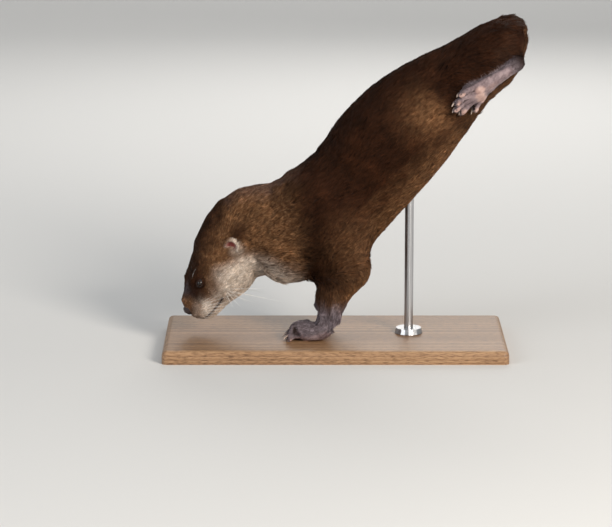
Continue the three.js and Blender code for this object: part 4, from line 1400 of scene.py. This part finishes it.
def whisker(tree, root, inward, reach, droop, thickness):
    """A tapered bristle from the skin, in the head's frame, that bends as it goes."""
    start = on_skin(tree, np.array(root, float), unit(inward))
    t = np.linspace(0, 1, 13)[:, None]
    path = start + np.array(reach) * t + np.array(droop) * t * t + unit(inward) * (1 - t)
    return from_head(path), (thickness * (1 - t[:, 0]) ** 0.7 + 0.03) * MM, 4


def lip_whiskers(tree, side, source):
    for row, step, root in bristle_roots(side):
        if row == 0 and step == 0:
            continue
        size = 12 + 4.2 * step + source.uniform(-2, 3)
        direction = unit((-0.6 + 0.08 * row, side * (0.62 - 0.05 * step), -0.3 - 0.2 * row))
        droop = on_side((-0.22, -0.1, -0.16), side) * size
        yield whisker(tree, root, (-0.35, -side, 0.1), direction * size, droop, 0.2)


def cheek_whiskers(tree, side):
    for index, target in enumerate(CHEEK_WHISKERS):
        row, step = divmod(index, 3)
        root = on_side((-9 + 2.2 * step, 50.0, -36 + 2.0 * row), side)
        reach = on_side(target, side)
        droop = np.array([-0.05, 0, -0.08]) * np.linalg.norm(reach)
        yield whisker(tree, root, (0, -side, 0), reach, droop, 0.3)


def brow_whiskers(tree, side):
    for step in range(2):
        root = on_side((1.0 - 3 * step, 22.0, 22.0), side)
        size = 9 + 3 * step
        reach = on_side((-0.7, 0.5, 0.5), side) * size
        yield whisker(tree, root, (0, 0, -1), reach, (-0.3 * size, 0, -0.3 * size), 0.06)


def make_whiskers(tree, material):
    """Long pale bristles on the lips, the cheeks and above the eyes."""
    source = np.random.default_rng(31)
    tubes = []
    for side in SIDES:
        tubes += [*lip_whiskers(tree, side, source), *cheek_whiskers(tree, side),
                  *brow_whiskers(tree, side)]
    finish_piece(join_tubes("whiskers", tubes), "claw", material)


# ---- the whole model ------------------------------------------------------------------------
# Where folds between the solids are evened out, behind the elbow and before it: places in the
# part's frame in millimetres, radii and turns.
FOLDS = (((47, 0, 125), 36, 150), ((-22, 0, 118), 18, 60))
FACET_STEPS = (0.55, -0.572)  # in, and slightly farther out, which keeps the volume


def smooth_flesh(surface):
    """Takes the facets off the joined solids, and evens out the folds and the nape."""
    surface.smooth(surface.of_kind("smooth", 12), 110, FACET_STEPS)
    for place, radius, turns in FOLDS:
        surface.smooth(bump_at(surface.points / MM * (1, 0.3, 1), place, radius), turns)
    nape = in_head(surface.points) * (1, 0.55, 1)
    filled = bump_at(nape, (-112, 0, 30), 20)
    surface.move(surface.normals() * (filled * 1.8 * MM)[:, None])
    uneven = np.maximum(bump_at(nape, (-110, 0, 30), 44), bump_at(nape, (-60, 0, 32), 26))
    surface.smooth(uneven, 130)


def featured(points, eye_radius, whole_face):
    """Which points are near the eyes and, for the whole face, the ears, the nose or the mouth."""
    h = in_head(points)
    wanted = np.zeros(len(h), bool)
    for side in SIDES:
        wanted |= norms(h - eye_frame(side)[0]) < eye_radius
        if whole_face:
            wanted |= norms(h - ear_frame(side)[0]) < 19
    if whole_face:
        low, high = (-4, -45, -42), (60, 45, -5)
        wanted |= ((h > low) & (h < high)).all(1)
    return wanted


def make_skin():
    """The skin in its final shape, with its faces small where it has features."""
    thing = joined_flesh()
    surface = Surface(thing.data)
    smooth_flesh(surface)
    depth = coat_depth(surface) + GROWTH / MM
    surface.move(-surface.normals() * (depth * MM)[:, None])
    coarsen_body(thing)
    for eye_radius, whole_face in ((17, True), (12, False)):
        points = read(thing.data, "vertices", "co", 3)
        refine(thing, featured(points, eye_radius, whole_face))
    surface = Surface(thing.data)
    shape_muzzle(surface, tree_of([thing.data])[0])
    h = in_head(surface.points)
    away = norms((h - in_head(centre("nose"))) / (9.0, 12.0, 8.0))
    h[:, 0] -= 4.5 * fade(0.55, 0.98, away)  # room for the nose pad
    surface.place(from_head(shape_eyelids(h)))
    shape_ears(surface)
    shape_paws(surface)
    return thing, surface


def unwrap(thing):
    layer = thing.data.uv_layers.new(name="OFBake")
    thing.data.uv_layers.active = layer
    bpy.context.view_layer.objects.active = thing
    thing.select_set(True)
    bpy.ops.object.mode_set(mode="EDIT")
    bpy.ops.mesh.select_all(action="SELECT")
    bpy.ops.uv.smart_project(angle_limit=math.radians(66), island_margin=0.002)
    bpy.ops.object.mode_set(mode="OBJECT")
    thing.select_set(False)


def skin_only_marks(surface):
    """Where the skin is red inside the ears, dark at the lids, nose and mouth, and padded; off the
    pads a painted sheen goes on the soles.
    """
    h = in_head(surface.points)
    away, along = from_mouth(surface)
    rim = np.maximum.reduce([
        *(fade(1.15, 1.6, eye_reach(h, side)) for side in SIDES),
        fade(1.0, 1.15, nose_reach(h)),
        bell(away, 0, 1.6) * before_corner(along),
    ])
    return dict(ruddy=ear_inside(surface, 0.2, 0.75), rim=rim, pad=surface.pad)


make_camera()
make_studio()
skin, surface = make_skin()
unwrap(skin)
marks = coat_markings(surface)
for key, values in {**marks, **skin_only_marks(surface)}.items():
    store(skin.data, key, values)
finish_piece(skin, "coat", skin_material(), *FLESH)
tree, _ = tree_of([skin.data])
make_coat(surface, marks, skin.data, coat_material())
eye, lids = eye_material(), lid_material()
for side in SIDES:
    make_eyeball(side, eye)
    make_lid_edge(side, lids)
make_nose(nose_material())
make_claws(horn_material("claw", (0.15, 0.095, 0.08), (0.50, 0.39, 0.32), 500, 0.38))
make_whiskers(tree, horn_material("whisker", (0.72, 0.66, 0.60), (0.88, 0.86, 0.83), 400, 0.35))
wood, steel = wood_material(), steel_material()
for name, material in (("stand_base", wood), ("stand_rod", steel), ("stand_collar", steel)):
    nodes[name].data.materials.clear()
    nodes[name].data.materials.append(material)

repr([[list(map(float, corner)) for corner in box] for box in (cad_box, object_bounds())])
